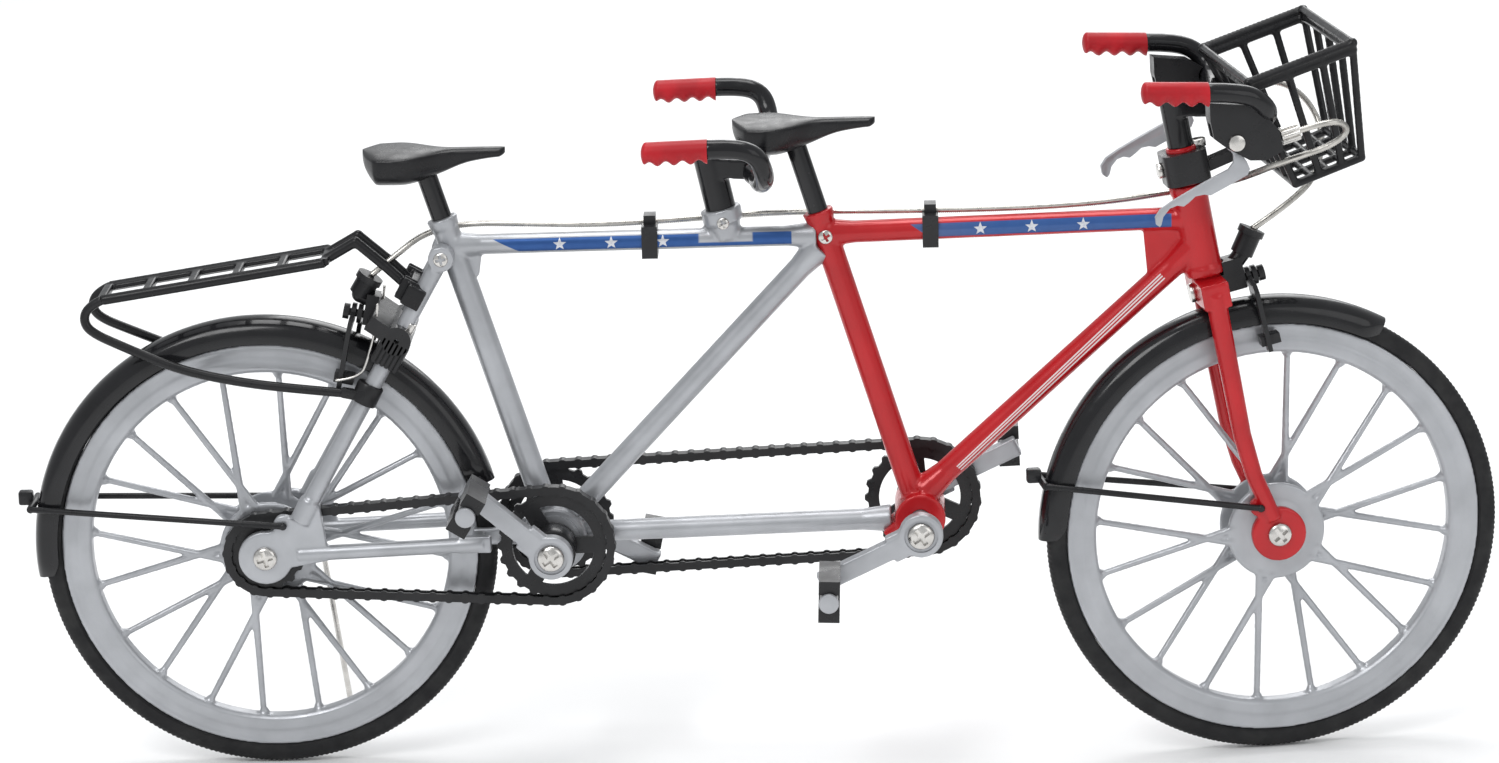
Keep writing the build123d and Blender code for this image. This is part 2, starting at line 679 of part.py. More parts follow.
# ---- basket, tilted up at the front ----
def basket_shape():
    rim = [(146.8, 106.8), (162.4, 112.0)]
    floor = [(155.0, 90.4), (165.0, 93.9)]

    def spot(level, along, across):
        """point on the basket: level 0 floor to 1 rim, along 0 back to 1 front, across -1 right to 1 left"""
        low_x = floor[0][0] + along * (floor[1][0] - floor[0][0])
        low_z = floor[0][1] + along * (floor[1][1] - floor[0][1])
        high_x = rim[0][0] + along * (rim[1][0] - rim[0][0])
        high_z = rim[0][1] + along * (rim[1][1] - rim[0][1])
        half = basket_floor_half + level * (basket_rim_half - basket_floor_half)
        return (low_x + level * (high_x - low_x), across * half, low_z + level * (high_z - low_z))

    bars = []
    corners = [(0, -1), (1, -1), (1, 1), (0, 1)]
    for level, radius in ((1, basket_rim_bar), (0, basket_bar)):
        for (a, b), (c, d) in zip(corners, corners[1:] + corners[:1]):
            bars.append(rod(spot(level, a, b), spot(level, c, d), radius))
            bars.append(ball(spot(level, a, b), radius + 0.15))
    for across in (-1, -0.5, 0, 0.5, 1):
        for along in (0, 1):
            bars.append(rod(spot(0, along, across), spot(1, along, across), basket_bar - 0.05))
    for across in (-1, 1):
        for along in (0.36, 0.7):
            bars.append(rod(spot(0, along, across), spot(1, along, across), basket_bar - 0.05))
    for along in (0.25, 0.5, 0.75):
        bars.append(rod(spot(0, along, -1), spot(0, along, 1), basket_bar - 0.1))
    for across in (-0.5, 0, 0.5):
        bars.append(rod(spot(0, 0, across), spot(0, 1, across), basket_bar - 0.15))
    return bars[0].fuse(*bars[1:])


basket = basket_shape()
put("basket", steered(basket))
put("headset_clamp", steered(clamp - basket))


# ---- brake levers and their housings ----
lever_pivot = (143.7, 99.1)
cheek = 0.7
housing_half = lever_thick / 2 + arm_gap + cheek


housing_outline = [(139.8, 102.5), (139.7, 105.2), (145.2, 104.6), (148.1, 102.9), (150.1, 100.7), (150.7, 97.6),
                   (148.1, 96.3), (145.7, 96.4), (142.2, 98.4), (140.4, 99.8)]


def lever_housing(side):
    body = side_plate(housing_outline, side * lever_y - housing_half, side * lever_y + housing_half)
    slot = Box(11.0, lever_thick + 2 * arm_gap, 14.0, align=(Align.MAX, Align.CENTER, Align.MAX))
    body = body - Pos(149.0, side * lever_y, 101.9) * slot
    return body - handlebar_bar - cross_rod(*lever_pivot, side * lever_y - 5, side * lever_y + 5, 0.6)


def lever(side):
    outline = [(144.9, 98.2), (145.3, 96.6), (147.0, 94.6), (146.5, 93.6), (142.3, 91.9), (139.9, 91.7), (138.4, 90.3),
               (136.2, 90.2), (134.3, 88.1), (132.5, 86.9), (131.4, 88.3), (131.6, 90.2), (138.6, 93.8), (142.8, 95.6),
               (143.3, 97.6)]
    body = side_plate(outline, side * lever_y - lever_thick / 2, side * lever_y + lever_thick / 2)
    body = body + cross_rod(*lever_pivot, side * lever_y - lever_thick / 2, side * lever_y + lever_thick / 2, 1.55)
    return body - cross_rod(*lever_pivot, side * lever_y - 5, side * lever_y + 5, 0.6 + running_fit)


def lever_rivet(side):
    """pin through the cheeks with a round head on the outside"""
    inner = side * (lever_y - housing_half)
    outer = side * (lever_y + housing_half)
    body = cross_rod(*lever_pivot, inner, outer, 0.6 - seat_gap)
    return body + cross_rod(*lever_pivot, outer, outer + side * 0.5, 1.25)


def ferrule(side):
    y = side * lever_y
    return rod((150.35, y, 99.3), (153.4, y, 100.2), 1.35) - side_plate(housing_outline, y - 3, y + 3)


put("lever_housings", steered(group([lever_housing(side) for side in (-1, 1)])))
put("right_brake_lever", steered(lever(-1)))
put("left_brake_lever", steered(lever(1)))
put("cable_ferrules", steered(group([ferrule(side) for side in (-1, 1)])))


# ---- rim brakes: made upright at the origin, X away from the frame, then placed ----
arm_outline_width = 1.5


def brake_arm(side):
    """one arm with its pad: the pivot eye, the shoulder and the long leg"""
    low, high = (-arm_gap / 2 - arm_thick, -arm_gap / 2) if side < 0 else (arm_gap / 2, arm_gap / 2 + arm_thick)
    y = side * brake_spread
    half = arm_outline_width / 2
    eye = rod((low, 0, 0), (high, 0, 0), 1.5)
    points = [(0, 0.9), (y, -0.6), (y + side * half, -1.6), (y + side * half, -brake_reach - 1.6),
              (y - side * half, -brake_reach - 1.6), (y - side * half, -2.4), (0, -1.1)]
    leg = make_face(Polyline([Vector(low, a, b) for a, b in points], close=True))
    leg = extrude(leg, amount=high - low, dir=(1, 0, 0))
    pad_face = rim_width / 2 + pad_gap
    near, far = sorted((side * pad_face, y))
    pad = Box(3.0, far - near, 1.5, align=(Align.CENTER, Align.MIN, Align.CENTER))
    body = eye + leg + Pos(0, near, -brake_reach) * pad
    return body - rod((-5, 0, 0), (5, 0, 0), 0.6 + running_fit)


def brake_body(barrel_low, barrel_high, block_depth):
    """carrier block behind the arms, the cable barrel above it and the bolt that the arms turn on"""
    back = -arm_gap / 2 - arm_thick - arm_gap
    block = Box(block_depth, 3.6, 4.8, align=(Align.MAX, Align.CENTER, Align.MIN))
    body = Pos(back, 0, -1.2) * block
    body = body + rod((back - 1.0, 0, 0), (-back + 0.9, 0, 0), 0.6)
    body = body + rod((-back, 0, 0), (-back + 0.9, 0, 0), 1.2)
    body = body + rod((back - 0.8, 0, 2.6), barrel_low, 1.3) + ball(barrel_low, 1.3)
    body = body + rod(barrel_low, barrel_high, 1.75)
    high = Vector(*barrel_high)
    down = (Vector(*barrel_low) - high).normalized()
    return body + rod(barrel_high, tuple(high + down * 1.0), 2.05)


front_brake_pivot = (150.6, 0, 74.4)
front_brake_tilt = -13.0       # degrees, the arms slant forward as they go down
rear_brake_pivot = (14.9, 0, 71.4)
rear_brake_tilt = 12.3


def at_front_brake(shape):
    return Pos(*front_brake_pivot) * Rot(0, front_brake_tilt, 0) * shape


def at_rear_brake(shape):
    return Pos(*rear_brake_pivot) * Rot(0, rear_brake_tilt, 0) * Rot(0, 0, 180) * shape


front_barrel = ((-0.6, 0, 3.7), (1.9, 0, 7.0))
rear_barrel = ((0.0, 0, 3.0), (-1.1, 0, 6.2))
for place, mover, barrel, block_depth in (("front", at_front_brake, front_barrel, 4.0),
                                          ("rear", at_rear_brake, rear_barrel, 1.9)):
    body = mover(brake_body(*barrel, block_depth))
    arms = {-1: mover(brake_arm(-1)), 1: mover(brake_arm(1))}
    if place == "rear":
        bridge = flat_bar((17.3, 71.6), (21.4, 68.6), 2.4, -7.2, 7.2)
        collar = ring(21.4, 68.6, -7.2, 7.2, 2.2, 0.4)
        body = body + (bridge - cross_rod(21.4, 68.6, -8, 8, 2.1)) + collar
        body = body - right_stays - mirror_y(right_stays)
        body = body.solids().sort_by(SortBy.VOLUME)[-1]
        rear_brake = body
        put("rear_brake_body", body)
        put("rear_brake_right_arm", arms[1])
        put("rear_brake_left_arm", arms[-1])
    else:
        head_sweep = rod(on_head(-0.35), on_head(head_length), head_tube_radius + free_gap)
        body = (body - fork_shape() - head_sweep).solids().sort_by(SortBy.VOLUME)[-1]
        front_brake = body
        put("front_brake_body", steered(body))
        put("front_brake_right_arm", steered(arms[-1]))
        put("front_brake_left_arm", steered(arms[1]))


# ---- fenders ----
def fender(start, stop):
    """curved channel over a wheel, between two angles counted from forward"""
    inner = tyre_radius + fender_gap
    outer = inner + fender_thick
    low = inner - fender_skirt
    side = fender_half - 0.6
    outer_side = [(low, -fender_half), (inner - 0.9, -fender_half), (outer - 0.15, -1.7), (outer, 0),
                  (outer - 0.15, 1.7), (inner - 0.9, fender_half), (low, fender_half)]
    inner_side = [(low, side), (inner - 1.1, side), (inner, 1.5), (inner, -1.5), (inner - 1.1, -side), (low, -side)]
    profile = make_face(Polyline(*outer_side, *inner_side, close=True))
    swept = revolve(profile, axis=Axis((0, 0, 0), (0, -1, 0)), revolution_arc=stop - start)
    return Rot(0, -start, 0) * swept


def fender_stay(root, tail, y_root, y_tail, block):
    """round wire from both dropouts back round the fender's outside"""
    wire = 0.4
    body = cross_rod(*tail, -y_tail - 0.2, y_tail + 0.2, 0.55)
    for side in (-1, 1):
        a = (root[0], side * y_root, root[1])
        b = (tail[0], side * y_tail, tail[1])
        body = body + rod(a, b, wire) + ball(b, 0.6)
        body = body + rod(a, (root[0], side * (y_root - 1.7), root[1]), 0.5) + ball(a, 0.5)
    knob = Box(2.2, 1.8, 2.2)
    return body + Pos(tail[0] + block[0], 0, tail[1] + block[1]) * knob


rear_fender = Pos(0, 0, hub_z) * fender(16, 187)
front_fender = Pos(wheelbase, 0, hub_z) * fender(61, 180)
put("rear_fender", rear_fender)
put("front_fender", steered(front_fender - rod(on_head(-4.4), on_head(2), 6.0) - fork_shape()))
fender_outer = tyre_radius + fender_gap + fender_thick
tail_rise = 7.2
rear_tail = (-sqrt(fender_outer ** 2 - tail_rise ** 2) - 0.6, hub_z + tail_rise)
front_tail = (wheelbase - sqrt(fender_outer ** 2 - 9.2 ** 2) - 0.6, hub_z + 9.2)
rear_stay = fender_stay((3.0, hub_z + 5.2), rear_tail, dropout_out + 0.5, 3.7, (-1.2, 0.9))
front_stay = fender_stay((wheelbase - 3.0, hub_z + 4.4), front_tail, fork_inner + dropout_thick + 0.5, 3.7, (-1.2, 0.9))
put("rear_fender_stays", rear_stay - rear_fender)
put("front_fender_stays", steered(front_stay - front_fender))


# ---- rear rack ----
def stay_point(z):
    """x and distance from the middle of a seat stay at a height"""
    part = (z - 42.6) / (80.6 - 42.6)
    return (6.6 + part * (28.4 - 6.6), stay_y + part * (3.4 - stay_y))


stay_cores = []
for side in (-1, 1):
    stay_cores.append(rod((6.6, side * stay_y, 42.6), (28.4, side * 3.4, 80.6), seat_stay_radius))
rack_rear = (-23.2, 75.2)
rack_front = (10.8, 80.4)


def rack_shape():
    body = None
    slope = (rack_front[1] - rack_rear[1]) / (rack_front[0] - rack_rear[0])
    for side in (-1, 1):
        y = side * rack_half
        rail = rod((rack_rear[0], y, rack_rear[1]), (rack_front[0], y, rack_front[1]), rack_bar)
        rail = rail + ball((rack_rear[0], y, rack_rear[1]), rack_bar) + ball((rack_front[0], y, rack_front[1]), rack_bar)
        body = rail if body is None else body + rail
    for part in (0, 0.2, 0.4, 0.6, 0.8, 1):
        x = rack_rear[0] + part * (rack_front[0] - rack_rear[0])
        z = rack_rear[1] + (x - rack_rear[0]) * slope
        body = body + cross_rod(x, z, -rack_half, rack_half, 0.6)
    for side in (-1, 1):
        tongue = [(rack_front[0], side * 2.2, rack_front[1]), (15.4, side * 2.2, 83.0), (19.6, side * 2.2, 79.3),
                  (23.2, side * 2.2, 75.8)]
        for a, b in zip(tongue, tongue[1:]):
            body = body + rod(a, b, 0.75) + ball(b, 0.75)
    x, y = stay_point(75.2)
    clamp_bar = Box(3.0, 2 * y + 4.6, 3.2)
    body = body + Pos(x - 1.2, 0, 75.0) * Rot(0, 30, 0) * clamp_bar
    for core in stay_cores:
        body = body - core
    return body.solids().sort_by(SortBy.VOLUME)[-1]


def left_rack_strut():
    """wire from the rack's back end down and forward to a collar on the seat stay"""
    x, y = stay_point(60.0)
    points = [(rack_rear[0] - 0.3, rack_half, rack_rear[1] - 0.4), (-25.7, rack_half, 72.9),
              (-25.1, rack_half + 0.2, 70.4), (-12.0, 5.6, 64.3), (-2.2, 6.0, 62.3), (x - 2.2, y + 0.4, 60.2)]
    body = None
    for a, b in zip(points, points[1:]):
        stick = rod(a, b, 0.7) + ball(b, 0.7)
        body = stick if body is None else body + stick
    collar = rod((x - 0.9, y + 0.15, 58.9), (x + 0.6, y - 0.1, 61.4), 2.1)
    return (body + collar - stay_cores[1] - rack).solids().sort_by(SortBy.VOLUME)[-1]


rack = rack_shape()
put("rear_rack", rack)
rack_strut = left_rack_strut()
put("rack_struts", group([mirror_y(rack_strut), rack_strut]))


# ---- cables ----
def cord(points, radius):
    radii = cord_radii(points)
    print("arcs", [round(value, 1) for value in radii])
    path = FilletPolyline(*points, radius=radii)
    tube = sweep(Plane(origin=path @ 0, z_dir=path % 0) * Circle(radius), path=path)
    print("length", round(path.length, 1), "volume over section", round(tube.volume / (pi * radius ** 2), 1))
    return tube


def turned(point):
    """where a point of the straight-ahead steering lies at rest"""
    spot = Vertex(*point).rotate(steering_axis, steer_at_rest)
    return (spot.X, spot.Y, spot.Z)


bar_side = [(153.4, -20.0, 100.2), (156.8, -20.4, 101.2), (159.8, -19.9, 101.2), (161.2, -18.2, 99.2),
            (158.6, -17.0, 97.0), (154.4, -16.2, 95.6), (150.8, -13.6, 93.8), (148.8, -9.0, 91.8), (147.4, -2.2, 89.6)]
frame_side = [(144.2, 4.8, 87.4), (137.6, 4.9, 86.5), (130.0, 2.4, 86.0), (120.0, 1.0, 85.7), (108.5, 1.3, 85.4),
              (97.0, 1.9, 85.3), (87.5, 3.2, 85.1), (79.6, 4.3, 84.8), (71.4, 4.5, 84.4), (62.5, 2.5, 84.3),
              (51.0, 1.2, 84.15), (40.0, 2.0, 84.4), (31.6, 3.7, 84.2), (25.4, 3.0, 83.0), (21.0, 0.9, 80.0)]
rear_barrel_top = (at_rear_brake(Vertex(*rear_barrel[1]))).center()
rear_points = [turned(point) for point in bar_side] + frame_side
rear_points = rear_points + [(rear_barrel_top.X, rear_barrel_top.Y, rear_barrel_top.Z)]
rear_cable = cord(rear_points, cable_radius) - rear_brake - steered(ferrule(-1))
put("rear_brake_cable", rear_cable)
front_barrel_top = (at_front_brake(Vertex(*front_barrel[1]))).center()
front_points = [(153.4, 20.0, 100.2), (158.4, 19.0, 101.0), (163.0, 17.0, 98.6), (165.4, 14.6, 93.4), (163.4, 9.6, 88.4),
                (159.0, 3.6, 85.4), (front_barrel_top.X, 0, front_barrel_top.Z)]
front_cable = cord(front_points, cable_radius) - front_brake - ferrule(1)
put("front_brake_cable", steered(front_cable))


def cable_clip(x):
    """strap round the top tube, with a hook over the cable"""
    z = top_tube_height(x)
    block = Pos(x, 0.4, z - 0.1) * Box(2.4, 4.6, 4.9)
    hook = Pos(x, 1.4, z + 2.6) * Box(1.8, 2.8, 2.2)
    return block + hook


clips = []
channel = cord(rear_points, cable_radius + seat_gap)
for clip_x in (59.8, 102.2):
    core = rear_top_core if clip_x < rear_top_ends[1] else front_top_core
    clips.append((cable_clip(clip_x) - core - channel).solids().sort_by(SortBy.VOLUME)[-1])
put("cable_clips", group(clips))


# ---- kickstand on the left dropout ----
kick_pivot = (6.4, 34.2)
kick_y = dropout_out + free_gap + 0.3      # clear of the chain stay, which is rounder than the plate
kick_wire = 0.45
kick_head_radius = 1.2


def kickstand():
    eye = cross_rod(*kick_pivot, kick_y, kick_y + 1.2, 1.4)
    route = [(kick_pivot[0], kick_y + 0.6, kick_pivot[1]), (7.4, 12.4, 23.0), (9.0, 19.6, 1.9), (12.6, 20.6, kick_wire)]
    body = eye
    for a, b in zip(route, route[1:]):
        body = body + rod(a, b, kick_wire) + ball(b, kick_wire)
    body = body - cross_rod(*kick_pivot, kick_y + 1.2, kick_y + 3, kick_head_radius + running_fit)
    return body - cross_rod(*kick_pivot, kick_y - 1, kick_y + 3, 0.6 + running_fit)


put("kickstand", kickstand())


# ---- fasteners ----
def pan_head(centre, y, side, radius, high):
    """screw head with a cross recess, its back face at y"""
    head = cross_rod(*centre, y, y + side * high, radius)
    depth = high * 0.6
    for turn in (20, 110):
        slot = Box(radius * 1.2, 2 * depth, radius * 0.34)
        head = head - Pos(centre[0], y + side * high, centre[1]) * Rot(0, turn, 0) * slot
    return head


def wheel_axle(hub, outer):
    body = cross_rod(*hub, -outer, outer, axle_radius)
    for side in (-1, 1):
        body = body + pan_head(hub, side * outer, side, 1.85, 0.9)
    return body


frame_screws = [wheel_axle(rear_hub, dropout_out)]
for side in (-1, 1):
    frame_screws.append(pan_head((28.4, 80.6), side * seat_bolt_y, side, seat_bolt_radius, 0.6))
kick_pin = cross_rod(*kick_pivot, dropout_out, kick_y + 1.2 + running_fit, 0.6) - mirror_y(right_stays)
frame_screws.append(kick_pin + pan_head(kick_pivot, kick_y + 1.2 + running_fit, 1, kick_head_radius, 0.5))
front_bolt_z = top_tube_z + 0.6
for side in (-1, 1):
    screw = pan_head((seat_line(*front_crank, front_bolt_z), front_bolt_z), side * 1.6, side, 1.15, 0.8)
    frame_screws.append(screw - front_seat_core)
stoker_bolt = on_stoker(2.9)
socket_core = rod(on_stoker(0), on_stoker(socket_length), socket_radius)
frame_screws.append(pan_head((stoker_bolt[0], stoker_bolt[2]), -2.6, -1, 1.0, 0.8) - socket_core)
put("frame_fasteners", group(frame_screws))

fork_screws = [wheel_axle(front_hub, fork_inner + dropout_thick), lever_rivet(-1), lever_rivet(1)]
clamp_back = Vector(-cos(radians(head_lean)), 0, -sin(radians(head_lean)))
clamp_face = Vector(*clamp_middle) + clamp_back * 3.4
fork_screws.append(rod(tuple(clamp_face), tuple(clamp_face + clamp_back * 0.8), 1.2))
nut_low = Vector(*on_head(clamp_low + clamp_height)) - clamp_back * 2.6
nut_up = Vector(*on_head(clamp_low + clamp_height + 1.2)) - clamp_back * 2.6
knurled_nut = rod(tuple(nut_low), tuple(nut_up), 1.3) - rod(on_head(15), on_head(40), stem_radius + 0.1)
fork_screws.append(knurled_nut)
crown_back = on_head(-2.4)
bolt_start = Vector(*crown_back) + clamp_back * 2.15
fork_screws.append(rod(tuple(bolt_start), tuple(bolt_start + clamp_back * 0.8), 1.5))
put("fork_fasteners", steered(group(fork_screws)))
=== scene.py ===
import bpy
import json
import math
from mathutils import Matrix, Vector


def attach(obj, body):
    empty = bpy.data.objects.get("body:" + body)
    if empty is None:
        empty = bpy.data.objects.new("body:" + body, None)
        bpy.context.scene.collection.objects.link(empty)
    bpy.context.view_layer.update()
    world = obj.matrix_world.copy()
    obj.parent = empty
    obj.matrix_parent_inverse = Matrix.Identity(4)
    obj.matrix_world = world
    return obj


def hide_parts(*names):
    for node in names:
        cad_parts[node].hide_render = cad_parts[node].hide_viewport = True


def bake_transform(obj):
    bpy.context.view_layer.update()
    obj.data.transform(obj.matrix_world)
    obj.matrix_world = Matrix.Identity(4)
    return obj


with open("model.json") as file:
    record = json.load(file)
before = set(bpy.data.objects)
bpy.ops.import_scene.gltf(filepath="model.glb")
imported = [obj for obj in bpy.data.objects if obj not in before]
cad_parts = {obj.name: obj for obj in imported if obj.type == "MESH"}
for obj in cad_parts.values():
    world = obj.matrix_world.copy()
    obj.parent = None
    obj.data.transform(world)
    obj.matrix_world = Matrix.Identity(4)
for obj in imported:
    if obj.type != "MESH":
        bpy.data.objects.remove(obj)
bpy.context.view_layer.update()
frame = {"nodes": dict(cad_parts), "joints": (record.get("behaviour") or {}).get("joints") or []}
print("frame loaded:", len(frame["nodes"]), "nodes")

mm = 0.001
hubAhead = 75.0  # mm from the rear hub forward to the frame's origin
headLean = math.radians(10.5)
headFoot = (143.6, 75.0)  # x, z on the steering axis, counted from the rear hub
seatLean = math.radians(17.1)
rearCrank = (43.9, 35.6)
frontCrank = (99.962, 38.1)
rearHub = (0.0, 35.0)
frontHub = (153.8, 35.0)


def place(point):
    # millimetres counted from the rear hub, into the frame's metres
    return Vector((ahead(point[0]), point[1] * mm, point[2] * mm))


def ahead(x):
    return (x - hubAhead) * mm


def onHead(distance):
    return (headFoot[0] - distance * math.sin(headLean), 0, headFoot[1] + distance * math.cos(headLean))


def seatLine(crank, z):
    return crank[0] - (z - crank[1]) * math.tan(seatLean)


steering = [joint for joint in frame["joints"] if joint["name"] == "steering"][0]
steerPivot = Vector(steering["pos_m"])
steerTurn = Matrix.Rotation(math.radians(8.65), 4, Vector(steering["axis"]))
steerMatrix = Matrix.Translation(steerPivot) @ steerTurn @ Matrix.Translation(-steerPivot)


def steer(piece):
    piece.data.transform(steerMatrix)  # the bar is turned a little to the left at rest
    return piece


# small tools

def deselect():
    if bpy.context.object and bpy.context.object.mode != "OBJECT":
        bpy.ops.object.mode_set(mode="OBJECT")
    bpy.ops.object.select_all(action="DESELECT")


def pick(piece):
    deselect()
    piece.select_set(True)
    bpy.context.view_layer.objects.active = piece


def settle():
    bpy.ops.object.transform_apply(location=True, rotation=True, scale=True)
    return bpy.context.object


def smoothAt(degrees):
    bpy.ops.object.shade_smooth_by_angle(angle=math.radians(degrees))


def rod(start, end, startRadius, endRadius=None, sides=24):
    deselect()
    a, b = place(start), place(end)
    line = b - a
    endRadius = startRadius if endRadius is None else endRadius
    bpy.ops.mesh.primitive_cone_add(
        vertices=sides, radius1=startRadius * mm, radius2=endRadius * mm, depth=line.length,
        location=(a + b) / 2, rotation=line.to_track_quat("Z", "Y").to_euler())
    return settle()


def crossRod(x, z, yFrom, yTo, radius, sides=32):
    return rod((x, yFrom, z), (x, yTo, z), radius, sides=sides)


def ball(point, radius, sides=20):
    deselect()
    bpy.ops.mesh.primitive_uv_sphere_add(
        segments=sides, ring_count=sides // 2, radius=radius * mm, location=place(point))
    return settle()


def slab(centre, size, tilt=0.0):
    # a block of size x, y, z, its front end raised by tilt degrees
    deselect()
    bpy.ops.mesh.primitive_cube_add(
        size=1, location=place(centre), rotation=(0, -math.radians(tilt), 0),
        scale=(size[0] * mm, size[1] * mm, size[2] * mm))
    return settle()


def bar(start, end, width, depth):
    # a block from start to end in the side view, depth across
    run = (end[0] - start[0], end[1] - start[1])
    middle = ((start[0] + end[0]) / 2, depth[0] + (depth[1] - depth[0]) / 2, (start[1] + end[1]) / 2)
    tilt = math.degrees(math.atan2(run[1], run[0]))
    return slab(middle, (math.hypot(*run), abs(depth[1] - depth[0]), width), tilt)


def tidyNormals():
    bpy.ops.object.mode_set(mode="EDIT")
    bpy.ops.mesh.select_all(action="SELECT")
    bpy.ops.mesh.remove_doubles(threshold=0.004 * mm)
    bpy.ops.mesh.normals_make_consistent(inside=False)
    bpy.ops.object.mode_set(mode="OBJECT")


def plate(outline, yFrom, yTo, hollow=0.0, depth=0.0):
    # a flat piece cut to an outline in x, z; hollow leaves a raised rim that wide on both faces
    deselect()
    bpy.ops.mesh.primitive_circle_add(vertices=len(outline), radius=mm, fill_type="NGON")
    piece = bpy.context.object
    for vertex, (x, z) in zip(piece.data.vertices, outline):
        vertex.co = place((x, yFrom, z))
    bpy.ops.object.mode_set(mode="EDIT")
    bpy.ops.mesh.select_all(action="SELECT")
    bpy.ops.mesh.extrude_region_move(TRANSFORM_OT_translate={"value": (0, (yTo - yFrom) * mm, 0)})
    bpy.ops.object.mode_set(mode="OBJECT")
    tidyNormals()
    if hollow:
        for side in (-1, 1):
            for polygon in piece.data.polygons:
                polygon.select = polygon.normal.y * side > 0.9
            bpy.ops.object.mode_set(mode="EDIT")
            bpy.ops.mesh.select_mode(type="FACE")
            bpy.ops.mesh.inset(thickness=hollow * mm, depth=-depth * mm)
            bpy.ops.mesh.select_all(action="DESELECT")
            bpy.ops.object.mode_set(mode="OBJECT")
    return piece


def turned(profile, centre, steps=96):
    # a ring turned about the Y axis of centre, from a closed outline of radius, y
    deselect()
    bpy.ops.mesh.primitive_circle_add(vertices=len(profile), radius=mm, fill_type="NOTHING")
    piece = bpy.context.object
    for vertex, (radius, y) in zip(piece.data.vertices, profile):
        vertex.co = Vector((radius * mm, y * mm, 0))
    bpy.ops.object.mode_set(mode="EDIT")
    bpy.ops.mesh.select_all(action="SELECT")
    bpy.ops.mesh.spin(steps=steps, angle=2 * math.pi, center=(0, 0, 0), axis=(0, 1, 0))
    bpy.ops.object.mode_set(mode="OBJECT")
    tidyNormals()
    piece.data.transform(Matrix.Translation(place((centre[0], 0, centre[1]))))
    return piece


def lofted(along, around, shape, capped=True):
    # a skin from a grid: shape(u, v) gives a point in mm, v runs once round
    deselect()
    bpy.ops.mesh.primitive_grid_add(x_subdivisions=along, y_subdivisions=around, size=1)
    piece = bpy.context.object
    for vertex in piece.data.vertices:
        u, v = vertex.co.x + 0.5, vertex.co.y + 0.5
        vertex.co = place(shape(u, v))
    bpy.ops.object.mode_set(mode="EDIT")
    bpy.ops.mesh.select_all(action="SELECT")
    bpy.ops.mesh.remove_doubles(threshold=0.004 * mm)
    if capped:
        bpy.ops.mesh.select_all(action="DESELECT")
        bpy.ops.mesh.select_mode(type="EDGE")
        bpy.ops.mesh.select_non_manifold()
        bpy.ops.mesh.edge_face_add()
    bpy.ops.mesh.select_all(action="SELECT")
    bpy.ops.mesh.normals_make_consistent(inside=False)
    bpy.ops.object.mode_set(mode="OBJECT")
    return piece


def joined(pieces, name):
    deselect()
    for piece in pieces:
        piece.select_set(True)
    bpy.context.view_layer.objects.active = pieces[0]
    if len(pieces) > 1:
        bpy.ops.object.join()
    result = bpy.context.object
    result.name = name
    return result


def finish(piece, kind, **values):
    pick(piece)
    modifier = piece.modifiers.new(kind.lower(), kind)
    for key, value in values.items():
        setattr(modifier, key, value)
    bpy.ops.object.modifier_apply(modifier=modifier.name)
    return piece


def melted(pieces, name, voxel=0.25, passes=6, factor=0.5):
    # overlapping forms run together as one casting, with a fillet at every meeting
    piece = joined(pieces, name)
    finish(piece, "REMESH", mode="VOXEL", voxel_size=voxel * mm, adaptivity=0.0)
    finish(piece, "SMOOTH", factor=factor, iterations=passes)
    bpy.ops.object.shade_smooth()
    return piece


def rounded(piece, width=0.15, segments=2, angle=35):
    finish(piece, "BEVEL", width=width * mm, segments=segments, limit_method="ANGLE",
           angle_limit=math.radians(angle), use_clamp_overlap=True)
    pick(piece)
    smoothAt(40)
    return piece


def carved(piece, cutters):
    for cutter in cutters:
        finish(piece, "BOOLEAN", operation="DIFFERENCE", object=cutter, solver="EXACT")
        bpy.data.objects.remove(cutter)
    return piece


def copied(piece, name, matrix=None):
    twin = piece.copy()
    twin.data = piece.data.copy()
    twin.name = name
    bpy.context.scene.collection.objects.link(twin)
    if matrix:
        twin.data.transform(matrix)
        if matrix.determinant() < 0:
            twin.data.flip_normals()
    return twin


mirrorY = Matrix.Scale(-1, 4, Vector((0, 1, 0)))


def routeCurve(points, order=3, resolution=24):
    deselect()
    bpy.ops.curve.primitive_nurbs_path_add()
    curve = bpy.context.object
    spline = curve.data.splines[0]
    curve.data.splines.remove(spline)
    spline = curve.data.splines.new("NURBS")
    spline.points.add(len(points) - 1)
    for knot, point in zip(spline.points, points):
        knot.co = (*place(point), 1)
    spline.order_u = order
    spline.use_endpoint_u = True
    spline.resolution_u = resolution
    curve.data.resolution_u = resolution
    curve.data.dimensions = "3D"
    curve.location = (0, 0, 0)
    return curve


def wire(points, radius, sides=3, order=3, resolution=16):
    # a round wire or bar along a smooth route
    curve = routeCurve(points, order, resolution)
    curve.data.bevel_depth = radius * mm
    curve.data.bevel_resolution = sides
    curve.data.use_fill_caps = True
    pick(curve)
    bpy.ops.object.convert(target="MESH")
    piece = bpy.context.object
    tidyNormals()
    bpy.ops.object.shade_smooth()
    return piece


def routePoints(points, spacing):
    # evenly spaced points on the smooth line of a route
    curve = routeCurve(points)
    bpy.context.view_layer.update()
    line = [v.co.copy() for v in bpy.data.meshes.new_from_object(curve).vertices]
    bpy.data.objects.remove(curve)
    even = [line[0]]
    rest = spacing
    for a, b in zip(line, line[1:]):
        step = (b - a).length
        gone = 0.0
        while step - gone >= rest:
            gone += rest
            even.append(a.lerp(b, gone / step))
            rest = spacing
        rest -= step - gone
    return even


def ready(piece, body, material, nodes=()):
    if material:
        piece.data.materials.clear()
        piece.data.materials.append(material)
    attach(piece, body)
    if nodes:
        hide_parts(*nodes)
    return piece


# materials

